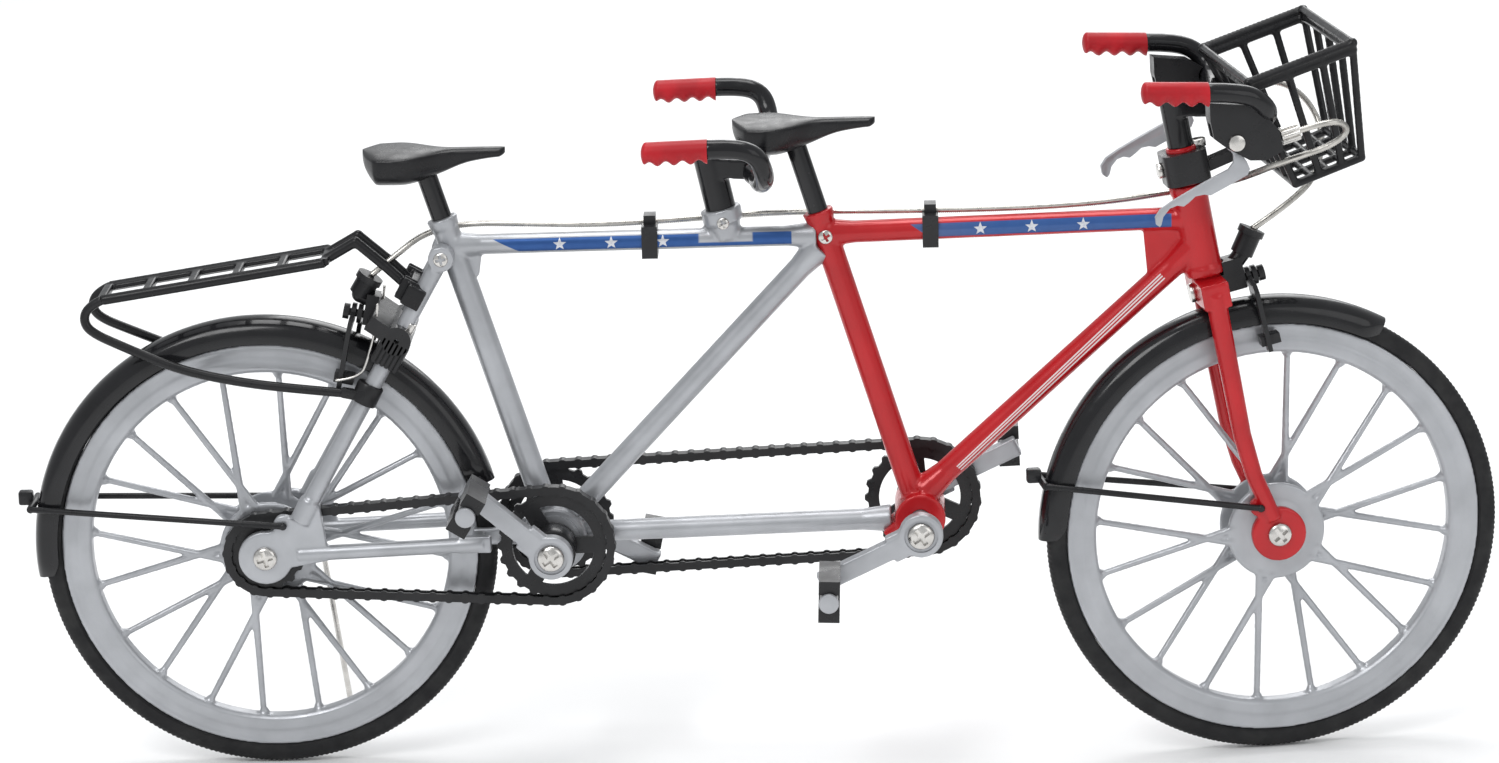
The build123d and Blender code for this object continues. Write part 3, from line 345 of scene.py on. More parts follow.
class Nodes:
    # short names for the node kinds that the finishes share

    def __init__(self, name):
        self.material = bpy.data.materials.new(name)
        self.material.use_nodes = True
        self.tree = self.material.node_tree
        self.shader = self.tree.nodes["Principled BSDF"]
        self.coords = self.tree.nodes.new("ShaderNodeTexCoord").outputs["Object"]

    def link(self, output, socket):
        self.tree.links.new(output, socket)

    def feed(self, value, socket):
        if isinstance(value, (int, float)):
            socket.default_value = value
        elif isinstance(value, (tuple, list)):
            socket.default_value = (*value, 1.0) if len(value) == 3 and socket.type == "RGBA" else value
        else:
            self.link(value, socket)

    def math(self, operation, a, b=0.0, clamp=False):
        node = self.tree.nodes.new("ShaderNodeMath")
        node.operation = operation
        node.use_clamp = clamp
        self.feed(a, node.inputs[0])
        self.feed(b, node.inputs[1])
        return node.outputs[0]

    def noise(self, scale, detail=3.0, rough=0.5, vector=None):
        node = self.tree.nodes.new("ShaderNodeTexNoise")
        node.inputs["Scale"].default_value = scale
        node.inputs["Detail"].default_value = detail
        node.inputs["Roughness"].default_value = rough
        self.link(vector or self.coords, node.inputs["Vector"])
        return node.outputs["Fac"]

    def voronoi(self, scale, output="Distance"):
        node = self.tree.nodes.new("ShaderNodeTexVoronoi")
        node.inputs["Scale"].default_value = scale
        self.link(self.coords, node.inputs["Vector"])
        return node.outputs[output]

    def spread(self, value, low, high, newLow, newHigh):
        node = self.tree.nodes.new("ShaderNodeMapRange")
        self.feed(value, node.inputs["Value"])
        for socket, number in zip(("From Min", "From Max", "To Min", "To Max"), (low, high, newLow, newHigh)):
            node.inputs[socket].default_value = number
        return node.outputs["Result"]

    def mix(self, factor, a, b):
        node = self.tree.nodes.new("ShaderNodeMix")
        node.data_type = "RGBA"
        self.feed(factor, node.inputs[0])
        self.feed(a, node.inputs[6])
        self.feed(b, node.inputs[7])
        return node.outputs[2]

    def axes(self):
        node = self.tree.nodes.new("ShaderNodeSeparateXYZ")
        self.link(self.coords, node.inputs[0])
        return node.outputs

    def worn(self, low=0.52, high=0.6):
        # edges and corners, where a finish rubs thin
        node = self.tree.nodes.new("ShaderNodeNewGeometry")
        return self.spread(node.outputs["Pointiness"], low, high, 0.0, 1.0)

    def bump(self, height, strength=0.2, distance=0.00005):
        node = self.tree.nodes.new("ShaderNodeBump")
        node.inputs["Strength"].default_value = strength
        node.inputs["Distance"].default_value = distance
        self.link(height, node.inputs["Height"])
        self.link(node.outputs["Normal"], self.shader.inputs["Normal"])

    def set(self, **values):
        for name, value in values.items():
            self.feed(value, self.shader.inputs[name.replace("_", " ")])
        return self.material


def metalPaint(name, colour, metallic=0.55, roughness=0.34, fleck=0.08):
    n = Nodes(name)
    dark = tuple(c * (1 - fleck) for c in colour)
    light = tuple(min(1, c * (1 + fleck)) for c in colour)
    cloud = n.mix(n.spread(n.noise(160, 4), 0.35, 0.65, 0, 1), dark, light)
    flakes = n.spread(n.voronoi(5200), 0.1, 0.5, 0.0, 1.0)
    base = n.mix(n.math("MULTIPLY", flakes, 0.12), cloud, light)
    n.bump(n.math("ADD", n.noise(900, 2), n.math("MULTIPLY", n.noise(4200, 2), 0.35)), 0.16, 0.00006)
    rough = n.spread(n.noise(420, 3), 0.3, 0.7, roughness - 0.05, roughness + 0.07)
    return n.set(Base_Color=base, Metallic=metallic, Roughness=rough)


decals = {
    "rear": {"start": 36.0, "end": 81.3, "slant": 2.0, "foot": (29.72, 81.7), "rise": 0.009, "half": 0.98,
             "firstStar": 46.2, "starStep": 7.8, "stars": 3, "gap": (67.4, 75.2)},
    "front": {"start": 98.6, "end": 138.5, "slant": 1.4, "foot": (86.55, 82.51), "rise": 0.024, "half": 1.05,
              "firstStar": 109.7, "starStep": 7.75, "stars": 3, "gap": None},
}


def bandMask(n, x, z, d):
    # inside the painted band: a strip along the tube with a slanted start
    middle = n.math("MULTIPLY_ADD", x, d["rise"])
    node = middle.node
    node.inputs[2].default_value = (d["foot"][1] - d["rise"] * (d["foot"][0] - hubAhead)) * mm
    off = n.math("SUBTRACT", z, middle)
    inside = n.spread(n.math("ABSOLUTE", off), (d["half"] + 0.05) * mm, (d["half"] - 0.05) * mm, 0, 1)
    slanted = n.math("ADD", x, n.math("MULTIPLY", off, d["slant"]))
    start = n.spread(slanted, ahead(d["start"] + 2), ahead(d["start"] + 2.1), 0, 1)
    end = n.spread(x, ahead(d["end"]), ahead(d["end"] - 0.1), 0, 1)
    mask = n.math("MULTIPLY", n.math("MULTIPLY", inside, start), end)
    if d["gap"]:
        low = n.spread(x, ahead(d["gap"][0]), ahead(d["gap"][0] - 0.3), 0, 1)
        high = n.spread(x, ahead(d["gap"][1]), ahead(d["gap"][1] + 0.3), 0, 1)
        below = n.spread(off, -0.25 * mm, -0.45 * mm, 0, 1)
        keep = n.math("MAXIMUM", n.math("MAXIMUM", low, high), below)
        mask = n.math("MULTIPLY", mask, keep)
    return mask, off


def starMask(n, x, off, d, size=1.02):
    # a row of five-pointed stars
    first = ahead(d["firstStar"])
    step = d["starStep"] * mm
    shifted = n.math("SUBTRACT", x, first - step / 2)
    number = n.math("FLOOR", n.math("DIVIDE", shifted, step))
    u = n.math("SUBTRACT", n.math("SUBTRACT", shifted, n.math("MULTIPLY", number, step)), step / 2)
    notBefore = n.math("GREATER_THAN", number, -0.5)
    notPast = n.math("LESS_THAN", number, d["stars"] - 0.5)
    inRow = n.math("MULTIPLY", notBefore, notPast)
    reach = n.math("SQRT", n.math("ADD", n.math("MULTIPLY", u, u), n.math("MULTIPLY", off, off)))
    turn = n.math("ADD", n.math("ARCTAN2", u, off), 4 * math.pi)
    fifth = 2 * math.pi / 5
    folded = n.math("MODULO", n.math("ADD", turn, fifth / 2), fifth)
    fold = n.math("ABSOLUTE", n.math("SUBTRACT", folded, fifth / 2))
    outer, inner = size * mm, size * 0.42 * mm
    across = n.math("MULTIPLY", n.math("COSINE", fold), inner * math.sin(math.pi / 5))
    up = n.math("MULTIPLY", n.math("SINE", fold), outer - inner * math.cos(math.pi / 5))
    edge = n.math("MULTIPLY", reach, n.math("ADD", across, up))
    limit = outer * inner * math.sin(math.pi / 5)
    return n.math("MULTIPLY", n.spread(edge, limit * 1.06, limit * 0.97, 0, 1), inRow)


stripes = {"start": (106.2, 45.3), "toward": (137.5, 75.1), "length": 43, "shifts": (-0.05, 0.42, 0.8),
           "fade": (0.13, 0.08), "strength": 0.85, "colour": (0.78, 0.76, 0.76)}


def striped(n, x, z, base):
    # thin lines along the down tube
    s = stripes
    startX, startZ = s["start"]
    tilt = math.atan2(s["toward"][1] - startZ, s["toward"][0] - startX)
    cosine, sine = math.cos(tilt), math.sin(tilt)
    along = n.math("ADD", n.math("MULTIPLY", x, cosine), n.math("MULTIPLY", z, sine))
    across = n.math("SUBTRACT", n.math("MULTIPLY", z, cosine), n.math("MULTIPLY", x, sine))
    zero = (startZ * cosine - (startX - hubAhead) * sine) * mm
    low = ((startX - hubAhead) * cosine + startZ * sine) * mm
    begun = n.math("GREATER_THAN", along, low)
    fits = n.math("MULTIPLY", begun, n.math("LESS_THAN", along, low + s["length"] * mm))
    for shift in s["shifts"]:
        gap = n.math("ABSOLUTE", n.math("SUBTRACT", across, zero + shift * mm))
        fade = n.spread(gap, s["fade"][0] * mm, s["fade"][1] * mm, 0, s["strength"])
        base = n.mix(n.math("MULTIPLY", fade, fits), base, s["colour"])
    return base


def framePaint(name, colour, side, metallic, roughness, pinstripes=False):
    # the tube colour with its blue band and stars, and pinstripes on the down tube
    n = Nodes(name)
    axes = n.axes()
    x, z = axes[0], axes[2]
    d = decals[side]
    dark = tuple(c * 0.9 for c in colour)
    light = tuple(min(1, c * 1.08) for c in colour)
    base = n.mix(n.spread(n.noise(160, 4), 0.35, 0.65, 0, 1), dark, light)
    flakes = n.spread(n.voronoi(5200), 0.1, 0.5, 0.0, 0.12)
    base = n.mix(flakes, base, light)
    mask, off = bandMask(n, x, z, d)
    blue = n.mix(n.noise(700, 3), (0.02, 0.07, 0.24), (0.03, 0.1, 0.3))
    if side == "front":
        fade = n.spread(x, ahead(102), ahead(112), 0.45, 0.0)
        blue = n.mix(fade, blue, (0.10, 0.12, 0.22))
    base = n.mix(mask, base, blue)
    star = n.math("MULTIPLY", starMask(n, x, off, d), n.spread(n.noise(2600, 2), 0.3, 0.5, 0.75, 1))
    base = n.mix(n.math("MULTIPLY", star, mask), base, (0.62, 0.63, 0.66))
    if pinstripes:
        base = striped(n, x, z, base)
    n.bump(n.math("ADD", n.noise(800, 2), n.math("MULTIPLY", n.noise(4200, 2), 0.3)), 0.18, 0.00006)
    rough = n.spread(n.noise(380, 3), 0.3, 0.7, roughness - 0.04, roughness + 0.07)
    return n.set(Base_Color=base, Metallic=metallic, Roughness=rough)


def plastic(name, colour, roughness=0.34, grain=0.12, scuff=0.12, coat=0.0):
    n = Nodes(name)
    light = tuple(min(1, c * 1.5) for c in colour)
    base = n.mix(n.spread(n.noise(220, 4), 0.4, 0.75, 0, 1), colour, light)
    base = n.mix(n.math("MULTIPLY", n.worn(), scuff), base, tuple(min(1, c + 0.1) for c in colour))
    n.bump(n.math("ADD", n.noise(3800, 2), n.math("MULTIPLY", n.noise(700, 2), 0.6)), grain, 0.00005)
    rough = n.spread(n.noise(500, 4), 0.3, 0.7, roughness - 0.06, roughness + 0.1)
    return n.set(Base_Color=base, Roughness=rough, Coat_Weight=coat, Specular_IOR_Level=0.28)


def brightMetal(name, colour=(0.72, 0.7, 0.67), roughness=0.2):
    n = Nodes(name)
    base = n.mix(n.spread(n.noise(600, 4), 0.35, 0.7, 0, 1), tuple(c * 0.75 for c in colour), colour)
    n.bump(n.noise(2600, 2), 0.12, 0.00003)
    rough = n.spread(n.noise(1200, 3), 0.3, 0.7, roughness - 0.07, roughness + 0.12)
    return n.set(Base_Color=base, Metallic=1.0, Roughness=rough)


def rubber(name):
    n = Nodes(name)
    base = n.mix(n.spread(n.noise(300, 5), 0.4, 0.7, 0, 1), (0.008, 0.008, 0.009), (0.018, 0.018, 0.018))
    n.bump(n.noise(3000, 4), 0.3, 0.00006)
    rough = n.spread(n.noise(500, 4), 0.3, 0.7, 0.5, 0.72)
    return n.set(Base_Color=base, Roughness=rough, Specular_IOR_Level=0.3)


silverPaint = metalPaint("silver paint", (0.4, 0.41, 0.43), 0.55, 0.36)
redPaint = metalPaint("red paint", (0.44, 0.008, 0.012), 0.12, 0.2, 0.1)
rearFramePaint = framePaint("rear frame paint", (0.4, 0.41, 0.43), "rear", 0.55, 0.34)
frontFramePaint = framePaint("front frame paint", (0.44, 0.008, 0.012), "front", 0.12, 0.2, True)
blackPaint = plastic("black gloss", (0.006, 0.006, 0.007), 0.18, 0.06, 0.06, 0.2)
blackPlastic = plastic("black moulding", (0.008, 0.008, 0.009), 0.28, 0.14, 0.1)
chainPlastic = plastic("chain black", (0.008, 0.008, 0.009), 0.38, 0.16, 0.1)
leverPaint = metalPaint("lever silver", (0.4, 0.41, 0.43), 0.4, 0.36)
redPlastic = plastic("red grip", (0.36, 0.008, 0.014), 0.4, 0.25, 0.08)
brightSteel = brightMetal("bright steel")
cableSteel = brightMetal("cable steel", (0.62, 0.6, 0.56), 0.28)
tyreRubber = rubber("tyre rubber")
print("materials made")


# camera, lights and floor

cameraPlace = {"eye": (0.01998, -0.73504, 0.2575), "yaw": 1.611, "pitch": 15.074, "roll": -1.466,
               "lens": 120.08, "sensor": 36.0}


def makeStage():
    deselect()
    bpy.ops.object.camera_add(location=cameraPlace["eye"])
    camera = bpy.context.object
    turn = Matrix.Rotation(math.radians(cameraPlace["yaw"]), 4, "Z")
    turn = turn @ Matrix.Rotation(math.radians(90 - cameraPlace["pitch"]), 4, "X")
    turn = turn @ Matrix.Rotation(math.radians(cameraPlace["roll"]), 4, "Z")
    camera.matrix_world = Matrix.Translation(cameraPlace["eye"]) @ turn
    camera.data.lens = cameraPlace["lens"]
    camera.data.sensor_width = cameraPlace["sensor"]
    camera.data.clip_start = 0.01
    bpy.context.scene.camera = camera
    bpy.ops.mesh.primitive_plane_add(size=6, location=(0, 0, -0.0001))
    floor = bpy.context.object
    floor.name = "floor"
    n = Nodes("pale floor")
    n.set(Base_Color=n.mix(n.noise(3, 2), (0.86, 0.86, 0.86), (0.9, 0.9, 0.9)), Roughness=0.7)
    floor.data.materials.append(n.material)
    world = bpy.data.worlds.new("studio")
    world.use_nodes = True
    world.node_tree.nodes["Background"].inputs[0].default_value = (0.96, 0.98, 1.0, 1)
    world.node_tree.nodes["Background"].inputs[1].default_value = 0.62
    bpy.context.scene.world = world
    bpy.context.scene.view_settings.view_transform = "Standard"
    for name, spot, size, power in (
            ("key", (-0.35, -0.6, 0.75), 0.4, 3.2), ("fill", (0.6, -0.6, 0.4), 0.5, 0.8),
            ("top", (0.0, 0.15, 0.9), 0.5, 4.0), ("back", (0.1, 0.8, 0.5), 0.5, 1.8)):
        bpy.ops.object.light_add(type="AREA", location=spot)
        light = bpy.context.object
        light.name = name + " light"
        light.data.size = size
        light.data.energy = power
        aim = Vector((0, 0, 0.05)) - Vector(spot)
        light.rotation_euler = aim.to_track_quat("-Z", "Y").to_euler()


makeStage()
print("stage made")


# frame castings

tubes = {"seat": 1.98, "rearTop": 1.55, "frontTop": 1.7, "down": 1.85, "boom": 1.65, "diagonal": 1.8,
         "head": 2.72, "shell": 5.0, "frontShell": 3.85, "flare": 5.0, "seatTop": 86.0}


def tubeForms(start, end, radius, swell=1.45):
    # a tube with a swelling at both ends, where it runs into its neighbour
    a, b = Vector(start), Vector(end)
    line = (b - a).normalized()
    reach = tubes["flare"]
    pieces = [rod(start, end, radius)]
    pieces.append(rod(start, tuple(a + line * reach), radius * swell, radius * 0.96))
    pieces.append(rod(tuple(b - line * reach), end, radius * 0.96, radius * swell))
    return pieces


def topHeight(x, side):
    d = decals[side]
    return d["foot"][1] + (x - d["foot"][0]) * d["rise"]


def seatTubeForms(crank):
    foot = (crank[0], 0, crank[1])
    top = (seatLine(crank, tubes["seatTop"]), 0, tubes["seatTop"])
    collarFoot = (seatLine(crank, tubes["seatTop"] - 1.5), 0, tubes["seatTop"] - 1.5)
    return [rod(foot, top, tubes["seat"]), rod(collarFoot, top, 2.15, 2.4)]


def makeFrontFrame():
    forms = seatTubeForms(frontCrank)
    start = seatLine(frontCrank, 82.5)
    forms += tubeForms((start, 0, topHeight(start, "front")), (142.4, 0, topHeight(142.4, "front")),
                       tubes["frontTop"], 1.3)
    forms += tubeForms((100.6, 0, 41.6), (142.0, 0, 79.4), tubes["down"], 1.35)
    forms.append(rod(onHead(0), onHead(14.4), tubes["head"], sides=40))
    forms.append(rod(onHead(0), onHead(1.4), tubes["head"] + 0.25, sides=40))
    forms.append(rod(onHead(13.0), onHead(14.4), tubes["head"] + 0.25, sides=40))
    forms.append(bar((134.5, 79.0), (141.2, 79.6), 7.0, (-0.55, 0.55)))
    forms.append(crossRod(*frontCrank, -3.6, 7.4, tubes["frontShell"], 48))
    forms.append(slab((96.4, 0, 36.2), (2.4, 6.4, 3.6), -50))
    piece = melted(forms, "frontFrame", 0.21, 8)
    carved(piece, [crossRod(*frontCrank, -6, 10, 1.6)])
    return ready(piece, "frame", frontFramePaint,
                 ["head_tube", "front_top_tube", "front_seat_tube", "down_tube", "crank_shells"])


stayTop = (28.4, -3.4, 80.6)
stayFoot = (6.6, -7.15, 42.6)


def stayForms():
    forms = [rod(stayFoot, stayTop, 1.35), ball(stayTop, 1.95)]
    forms.append(crossRod(stayTop[0], stayTop[2], -5.05, -2.0, 1.95))
    forms.append(crossRod(0, 35, -7.9, -6.4, 4.15, 48))
    hubPlate = [(0.5, 32.8), (9.5, 34.4), (9.5, 36.8), (8.6, 43.4), (5.6, 44.2), (3.4, 40.0), (-2.0, 38.4)]
    forms.append(plate(hubPlate, -7.9, -6.4))
    forms.append(crossRod(3.0, 40.2, -7.9, -6.4, 1.55))
    forms.append(rod((5.0, -7.15, 35.4), (33.4, -7.15, 36.5), 1.18))
    forms.append(slab((32.1, -7.15, 36.5), (5.0, 1.5, 2.6)))
    forms.append(slab((32.45, -5.75, 36.5), (1.9, 4.3, 2.4)))
    forms.append(rod((5.6, -7.15, 40.6), (7.4, -7.1, 44.0), 1.75, 1.65))
    return forms


def makeRearFrame():
    forms = seatTubeForms(rearCrank)
    low = seatLine(rearCrank, 81.7)
    high = seatLine(frontCrank, 82.2) - 1.4
    forms += tubeForms((low, 0, 81.7), (high, 0, topHeight(high, "rear")), tubes["rearTop"], 1.35)
    forms += tubeForms((45.2, 0, 37.6), (high + 0.4, 0, 80.4), tubes["diagonal"], 1.3)
    forms += tubeForms((rearCrank[0] + 1, 0, 36.0), (frontCrank[0] - 4.4, 0, 37.4), tubes["boom"], 1.3)
    forms.append(rod((71.5, 0, 82.0), (70.6, 0, 86.4), 2.0, 3.05, 40))
    forms.append(rod((71.0, 0, 84.6), (70.55, 0, 86.75), 3.05, 3.1, 40))
    forms.append(bar((31.2, 79.0), (34.0, 78.6), 3.5, (-0.6, 0.6)))
    right = melted(stayForms(), "rearFrame", 0.21, 8)
    left = copied(right, "leftStays", mirrorY)
    tabs = [slab((38.0, side * 3.0, 36.5), (13.0, 1.2, 2.6)) for side in (-1, 1)]
    middle = melted(forms + tabs, "middle", 0.23, 8)
    piece = joined([middle, right, left], "rearFrame")
    nodes = ["rear_top_tube", "rear_seat_tube", "diagonal_tube", "boom_tube", "right_stays", "left_stays"]
    return ready(piece, "frame", rearFramePaint, nodes)


def makeRearShell():
    outer, inner = tubes["shell"], 1.6
    rim = [(inner, -3.6), (outer - 0.9, -3.6), (outer - 0.9, -3.2), (outer - 0.3, -3.2),
           (outer, -2.9), (outer, 6.9), (outer - 0.4, 7.4), (inner, 7.4)]
    piece = turned(rim, rearCrank, 72)
    piece.name = "rearCrankShell"
    smoothAt(40)
    return ready(piece, "frame", silverPaint, ["crank_shells"])


makeFrontFrame()
makeRearFrame()
makeRearShell()
print("frame castings made")


# fork

forkSizes = {"half": 5.0, "inner": 3.85, "outer": 5.35, "knee": 24.6, "shin": (149.9, 44.4)}


def makeFork():
    crownLow, crownHigh = onHead(-4.3), onHead(-0.35)
    middle = tuple((a + b) / 2 for a, b in zip(crownLow, crownHigh))
    crown = slab(middle, (4.3, 2 * forkSizes["half"] + 2.7, 3.95), math.degrees(headLean))
    forms = [crown, rod(onHead(-2), onHead(0.2), 2.3)]
    knee = onHead(-forkSizes["knee"])
    shin = forkSizes["shin"]
    ankle = (frontHub[0] - 0.8, frontHub[1] + 2.4)
    for side in (-1, 1):
        y = side * forkSizes["half"]
        top = onHead(-2.2)
        forms.append(rod((top[0], y, top[2]), (knee[0], y, knee[2]), 1.6, 1.42))
        forms.append(ball((knee[0], y, knee[2]), 1.42))
        forms.append(rod((knee[0], y, knee[2]), (shin[0], y, shin[1]), 1.42, 1.32))
        forms.append(ball((shin[0], y, shin[1]), 1.32))
        forms.append(rod((shin[0], y, shin[1]), (ankle[0], y, ankle[1]), 1.32, 1.25))
        near, far = side * forkSizes["inner"], side * forkSizes["outer"]
        forms.append(crossRod(*frontHub, near, far, 4.2, 48))
        forms.append(crossRod(frontHub[0] - 3, frontHub[1] + 4.4, near, far, 1.5))
    piece = melted(forms, "forkCasting", 0.2, 7)
    ready(steer(piece), "fork", redPaint, ["fork"])
    steerer = rod(onHead(13.5), onHead(20.2), 1.9, sides=40)
    ringPart = rod(onHead(14.5), onHead(15.6), 2.75, 2.75, 40)
    topRing = rod(onHead(19.4), onHead(20.2), 2.4, 2.3, 40)
    neck = joined([steerer, ringPart, topRing], "steererNeck")
    rounded(neck, 0.2)
    ready(steer(neck), "fork", redPaint)


makeFork()
print("fork made")


# wheels

wheelSizes = {"rimOuter": 32.1, "rimInner": 27.5, "pairs": 10, "firstPair": 40.0, "spokeRim": 0.5,
              "spokeHub": 0.62, "nub": 0.8, "flange": 7.6, "flangeIn": 2.6, "flangeThick": 0.8, "hub": 3.2,
              "bore": 0.97, "treadSteps": 550, "treadFoot": 33.4, "treadDeep": 0.16, "treadShallow": 0.1}


def mirrored(half, *middle):
    # an outline of radius, y with both sides alike
    return half + list(middle) + [(radius, -y) for radius, y in reversed(half)]


def rimPoint(radius, turn, y):
    return (radius * math.cos(turn) + hubAhead, y, radius * math.sin(turn))


def makeWheelCasting(hubEnd):
    s = wheelSizes
    rim = mirrored([(s["rimInner"], -1.0), (s["rimInner"] + 0.6, -1.5), (29.6, -1.5), (30.0, -1.35),
                    (31.2, -1.35), (31.5, -1.5), (s["rimOuter"], -1.45)])
    forms = [turned(rim, (hubAhead, 0), 160)]
    forms.append(rod((hubAhead, -hubEnd, 0), (hubAhead, hubEnd, 0), s["hub"], sides=40))
    for side in (-1, 1):
        low, high = side * s["flangeIn"], side * (s["flangeIn"] + s["flangeThick"])
        forms.append(rod((hubAhead, low, 0), (hubAhead, high, 0), s["flange"], s["flange"] - 0.2, 64))
        forms.append(rod((hubAhead, high, 0), (hubAhead, high + side * 0.5, 0), 5.0, 3.6, 48))
    spread = math.radians(9)
    for pair in range(s["pairs"]):
        side = -1 if pair % 2 == 0 else 1
        turn = math.radians(s["firstPair"] + pair * 36)
        y = side * (s["flangeIn"] + s["flangeThick"] / 2)
        for way in (-1, 1):
            inner = rimPoint(s["flange"] - 0.8, turn - way * spread, y)
            outer = rimPoint(s["rimInner"] + 0.5, turn + way * spread, 0)
            forms.append(rod(inner, outer, s["spokeHub"], s["spokeRim"], 12))
            nub = rimPoint(s["rimInner"] - 0.2, turn + way * spread, 0)
            forms.append(ball(nub, s["nub"], 12))
    piece = melted(forms, "wheelCasting", 0.24, 4)
    bore = rod((hubAhead, -12, 0), (hubAhead, 12, 0), s["bore"], sides=24)
    return carved(piece, [bore])


def makeTyre():
    s = wheelSizes
    seat = s["rimOuter"] + 0.03
    profile = mirrored([(seat, -1.2), (seat + 0.35, -1.62), (33.0, -1.7), (33.6, -1.7), (34.1, -1.64),
                        (34.5, -1.45), (34.85, -1.05), (35.0, -0.5)])
    piece = turned(profile, (hubAhead, 0), s["treadSteps"])
    pitch = 4 * math.pi / s["treadSteps"]
    for vertex in piece.data.vertices:
        reach = math.hypot(vertex.co.x, vertex.co.z)
        if reach > s["treadFoot"] * mm:
            turn = math.atan2(vertex.co.z, vertex.co.x)
            step = round(turn / (pitch / 2)) % 2
            deep = abs(vertex.co.y) > 0.8 * mm
            depth = (s["treadDeep"] if deep else s["treadShallow"]) * mm * step
            slant = 0.35 * pitch * abs(vertex.co.y) / mm
            vertex.co.x = (reach - depth) * math.cos(turn + slant)
            vertex.co.z = (reach - depth) * math.sin(turn + slant)
    pick(piece)
    smoothAt(35)
    return piece


def makeWheels():
    rearShift = Matrix.Translation((ahead(rearHub[0]), 0, rearHub[1] * mm))
    frontShift = Matrix.Translation((ahead(frontHub[0]), 0, frontHub[1] * mm))
    casting = makeWheelCasting(3.5)
    rear = copied(casting, "rearWheelCasting", rearShift)
    hubSleeve = rounded(crossRod(*rearHub, -4.85, 6.05, wheelSizes["hub"], 40), 0.2)
    rear = joined([rear, hubSleeve], "rearWheelCasting")
    casting.name = "frontWheelCasting"
    casting.data.transform(frontShift)
    ready(rear, "rear_wheel", silverPaint, ["rear_wheel"])
    ready(steer(casting), "front_wheel", silverPaint, ["front_wheel"])
    tyre = makeTyre()
    rearTyre = copied(tyre, "rearTyreMoulding", rearShift)
    tyre.name = "frontTyreMoulding"
    tyre.data.transform(frontShift)
    ready(rearTyre, "rear_wheel", tyreRubber, ["rear_tyre"])
    ready(steer(tyre), "front_wheel", tyreRubber, ["front_tyre"])


makeWheels()
print("wheels made")


# saddles

saddleSizes = {"length": 21.5, "backHalf": 6.8, "noseHalf": 1.35, "depth": 5.2, "back": 9.6}


def saddleShape(postX, top):
    s = saddleSizes
    back = postX - s["back"]

    def smooth(t):
        t = min(1, max(0, t))
        return t * t * (3 - 2 * t)

    def shape(u, v):
        reach = 0.5 - 0.5 * math.cos(math.pi * u)
        x = back + reach * s["length"]
        ends = min(1.0, (reach / 0.1) ** 0.5, ((1 - reach) / 0.04) ** 0.5)
        narrow = smooth((reach - 0.24) / 0.4)
        half = s["backHalf"] * (1 - narrow) + (s["noseHalf"] + 0.5 * (1 - reach)) * narrow
        half *= (0.86 + 0.14 * min(1, reach / 0.22)) * max(0.02, ends)
        dip = s["depth"] * (0.42 + 0.58 * smooth((0.78 - reach) / 0.5)) * max(0.05, ends)
        dip *= 1.0 - 0.62 * smooth((reach - 0.55) / 0.45)
        turn = 2 * math.pi * v
        side, rise = math.cos(turn), math.sin(turn)
        y = half * math.copysign(abs(side) ** 0.75, side)
        crown = 0.35 * (1 - side * side)
        if rise >= 0:
            z = top - 0.75 + (0.42 * abs(rise) ** 0.5) + crown * 0.9
        else:
            z = top - 0.75 - dip * abs(rise) ** 0.8 * 0.86
        return (x, y, min(z, top))
    return shape


def makeSaddle(name, crank, top, body, node):
    piece = lofted(64, 48, saddleShape(seatLine(crank, top - 4.6), top))
    finish(piece, "SMOOTH", factor=0.5, iterations=3)
    piece.name = name
    bpy.ops.object.shade_smooth()
    return ready(piece, body, blackPlastic, [node])


makeSaddle("rearSaddleMoulding", rearCrank, 96.8, "rear_seat", "rear_saddle")
makeSaddle("frontSaddleMoulding", frontCrank, 100.3, "front_seat", "front_saddle")
print("saddles made")


# handlebars and grips

gripSizes = {"radius": 1.75, "waves": 4, "wave": 0.34, "reach": 22.4}


def gripShape(back, front, y):
    g = gripSizes

    def shape(u, v):
        x = back[0] + u * (front[0] - back[0])
        middle = back[1] + u * (front[1] - back[1])
        ends = 1.0
        if u < 0.08:
            ends = max(0.05, 1 - (1 - u / 0.08) ** 2) ** 0.5
        turn = 2 * math.pi * v
        lower = max(0.0, -math.sin(turn))
        radius = g["radius"] * ends
        radius += lower * g["wave"] * math.cos(2 * math.pi * g["waves"] * u) * ends
        return (x, y + radius * 0.88 * math.cos(turn), middle - 0.1 + radius * 0.94 * math.sin(turn))
    return shape


def makeGrips(name, back, front, node, body, turnedBar=False):
    pair = [lofted(72, 32, gripShape(back, front, side * gripSizes["reach"])) for side in (-1, 1)]
    piece = joined(pair, name)
    smoothAt(50)
    if turnedBar:
        steer(piece)
    return ready(piece, body, redPlastic, [node])


barRadius = 1.48


def bothWays(points):
    return points + [(x, -y, z) for x, y, z in reversed(points)]


def onStoker(distance):
    lean = math.radians(12)
    return (71.6 - distance * math.sin(lean), 0, 82.08 + distance * math.cos(lean))


def makeStokerBar():
    route = bothWays([(69.4, 22.4, 100.6), (73.6, 22.4, 100.75), (76.8, 22.1, 99.6), (77.9, 20.6, 96.4),
                      (77.6, 17.0, 94.2), (76.8, 11.0, 92.9), (76.4, 4.0, 92.5)])
    forms = [wire(route, barRadius, 4)]
    forms.append(rod(onStoker(2), onStoker(14.2), 2.32, sides=40))
    start = onStoker(11.5)
    forms.append(bar((start[0], start[2]), (76.9, 92.6), 2.9, (-2.1, 2.1)))
    for side in (-1, 1):
        forms.append(rod((75.9, side * 3.0, 92.6), (76.4, side * 5.4, 92.6), 1.85, 1.5))
    piece = melted(forms, "stokerBar", 0.21, 6)
    return ready(piece, "frame", blackPaint, ["stoker_handlebar"])


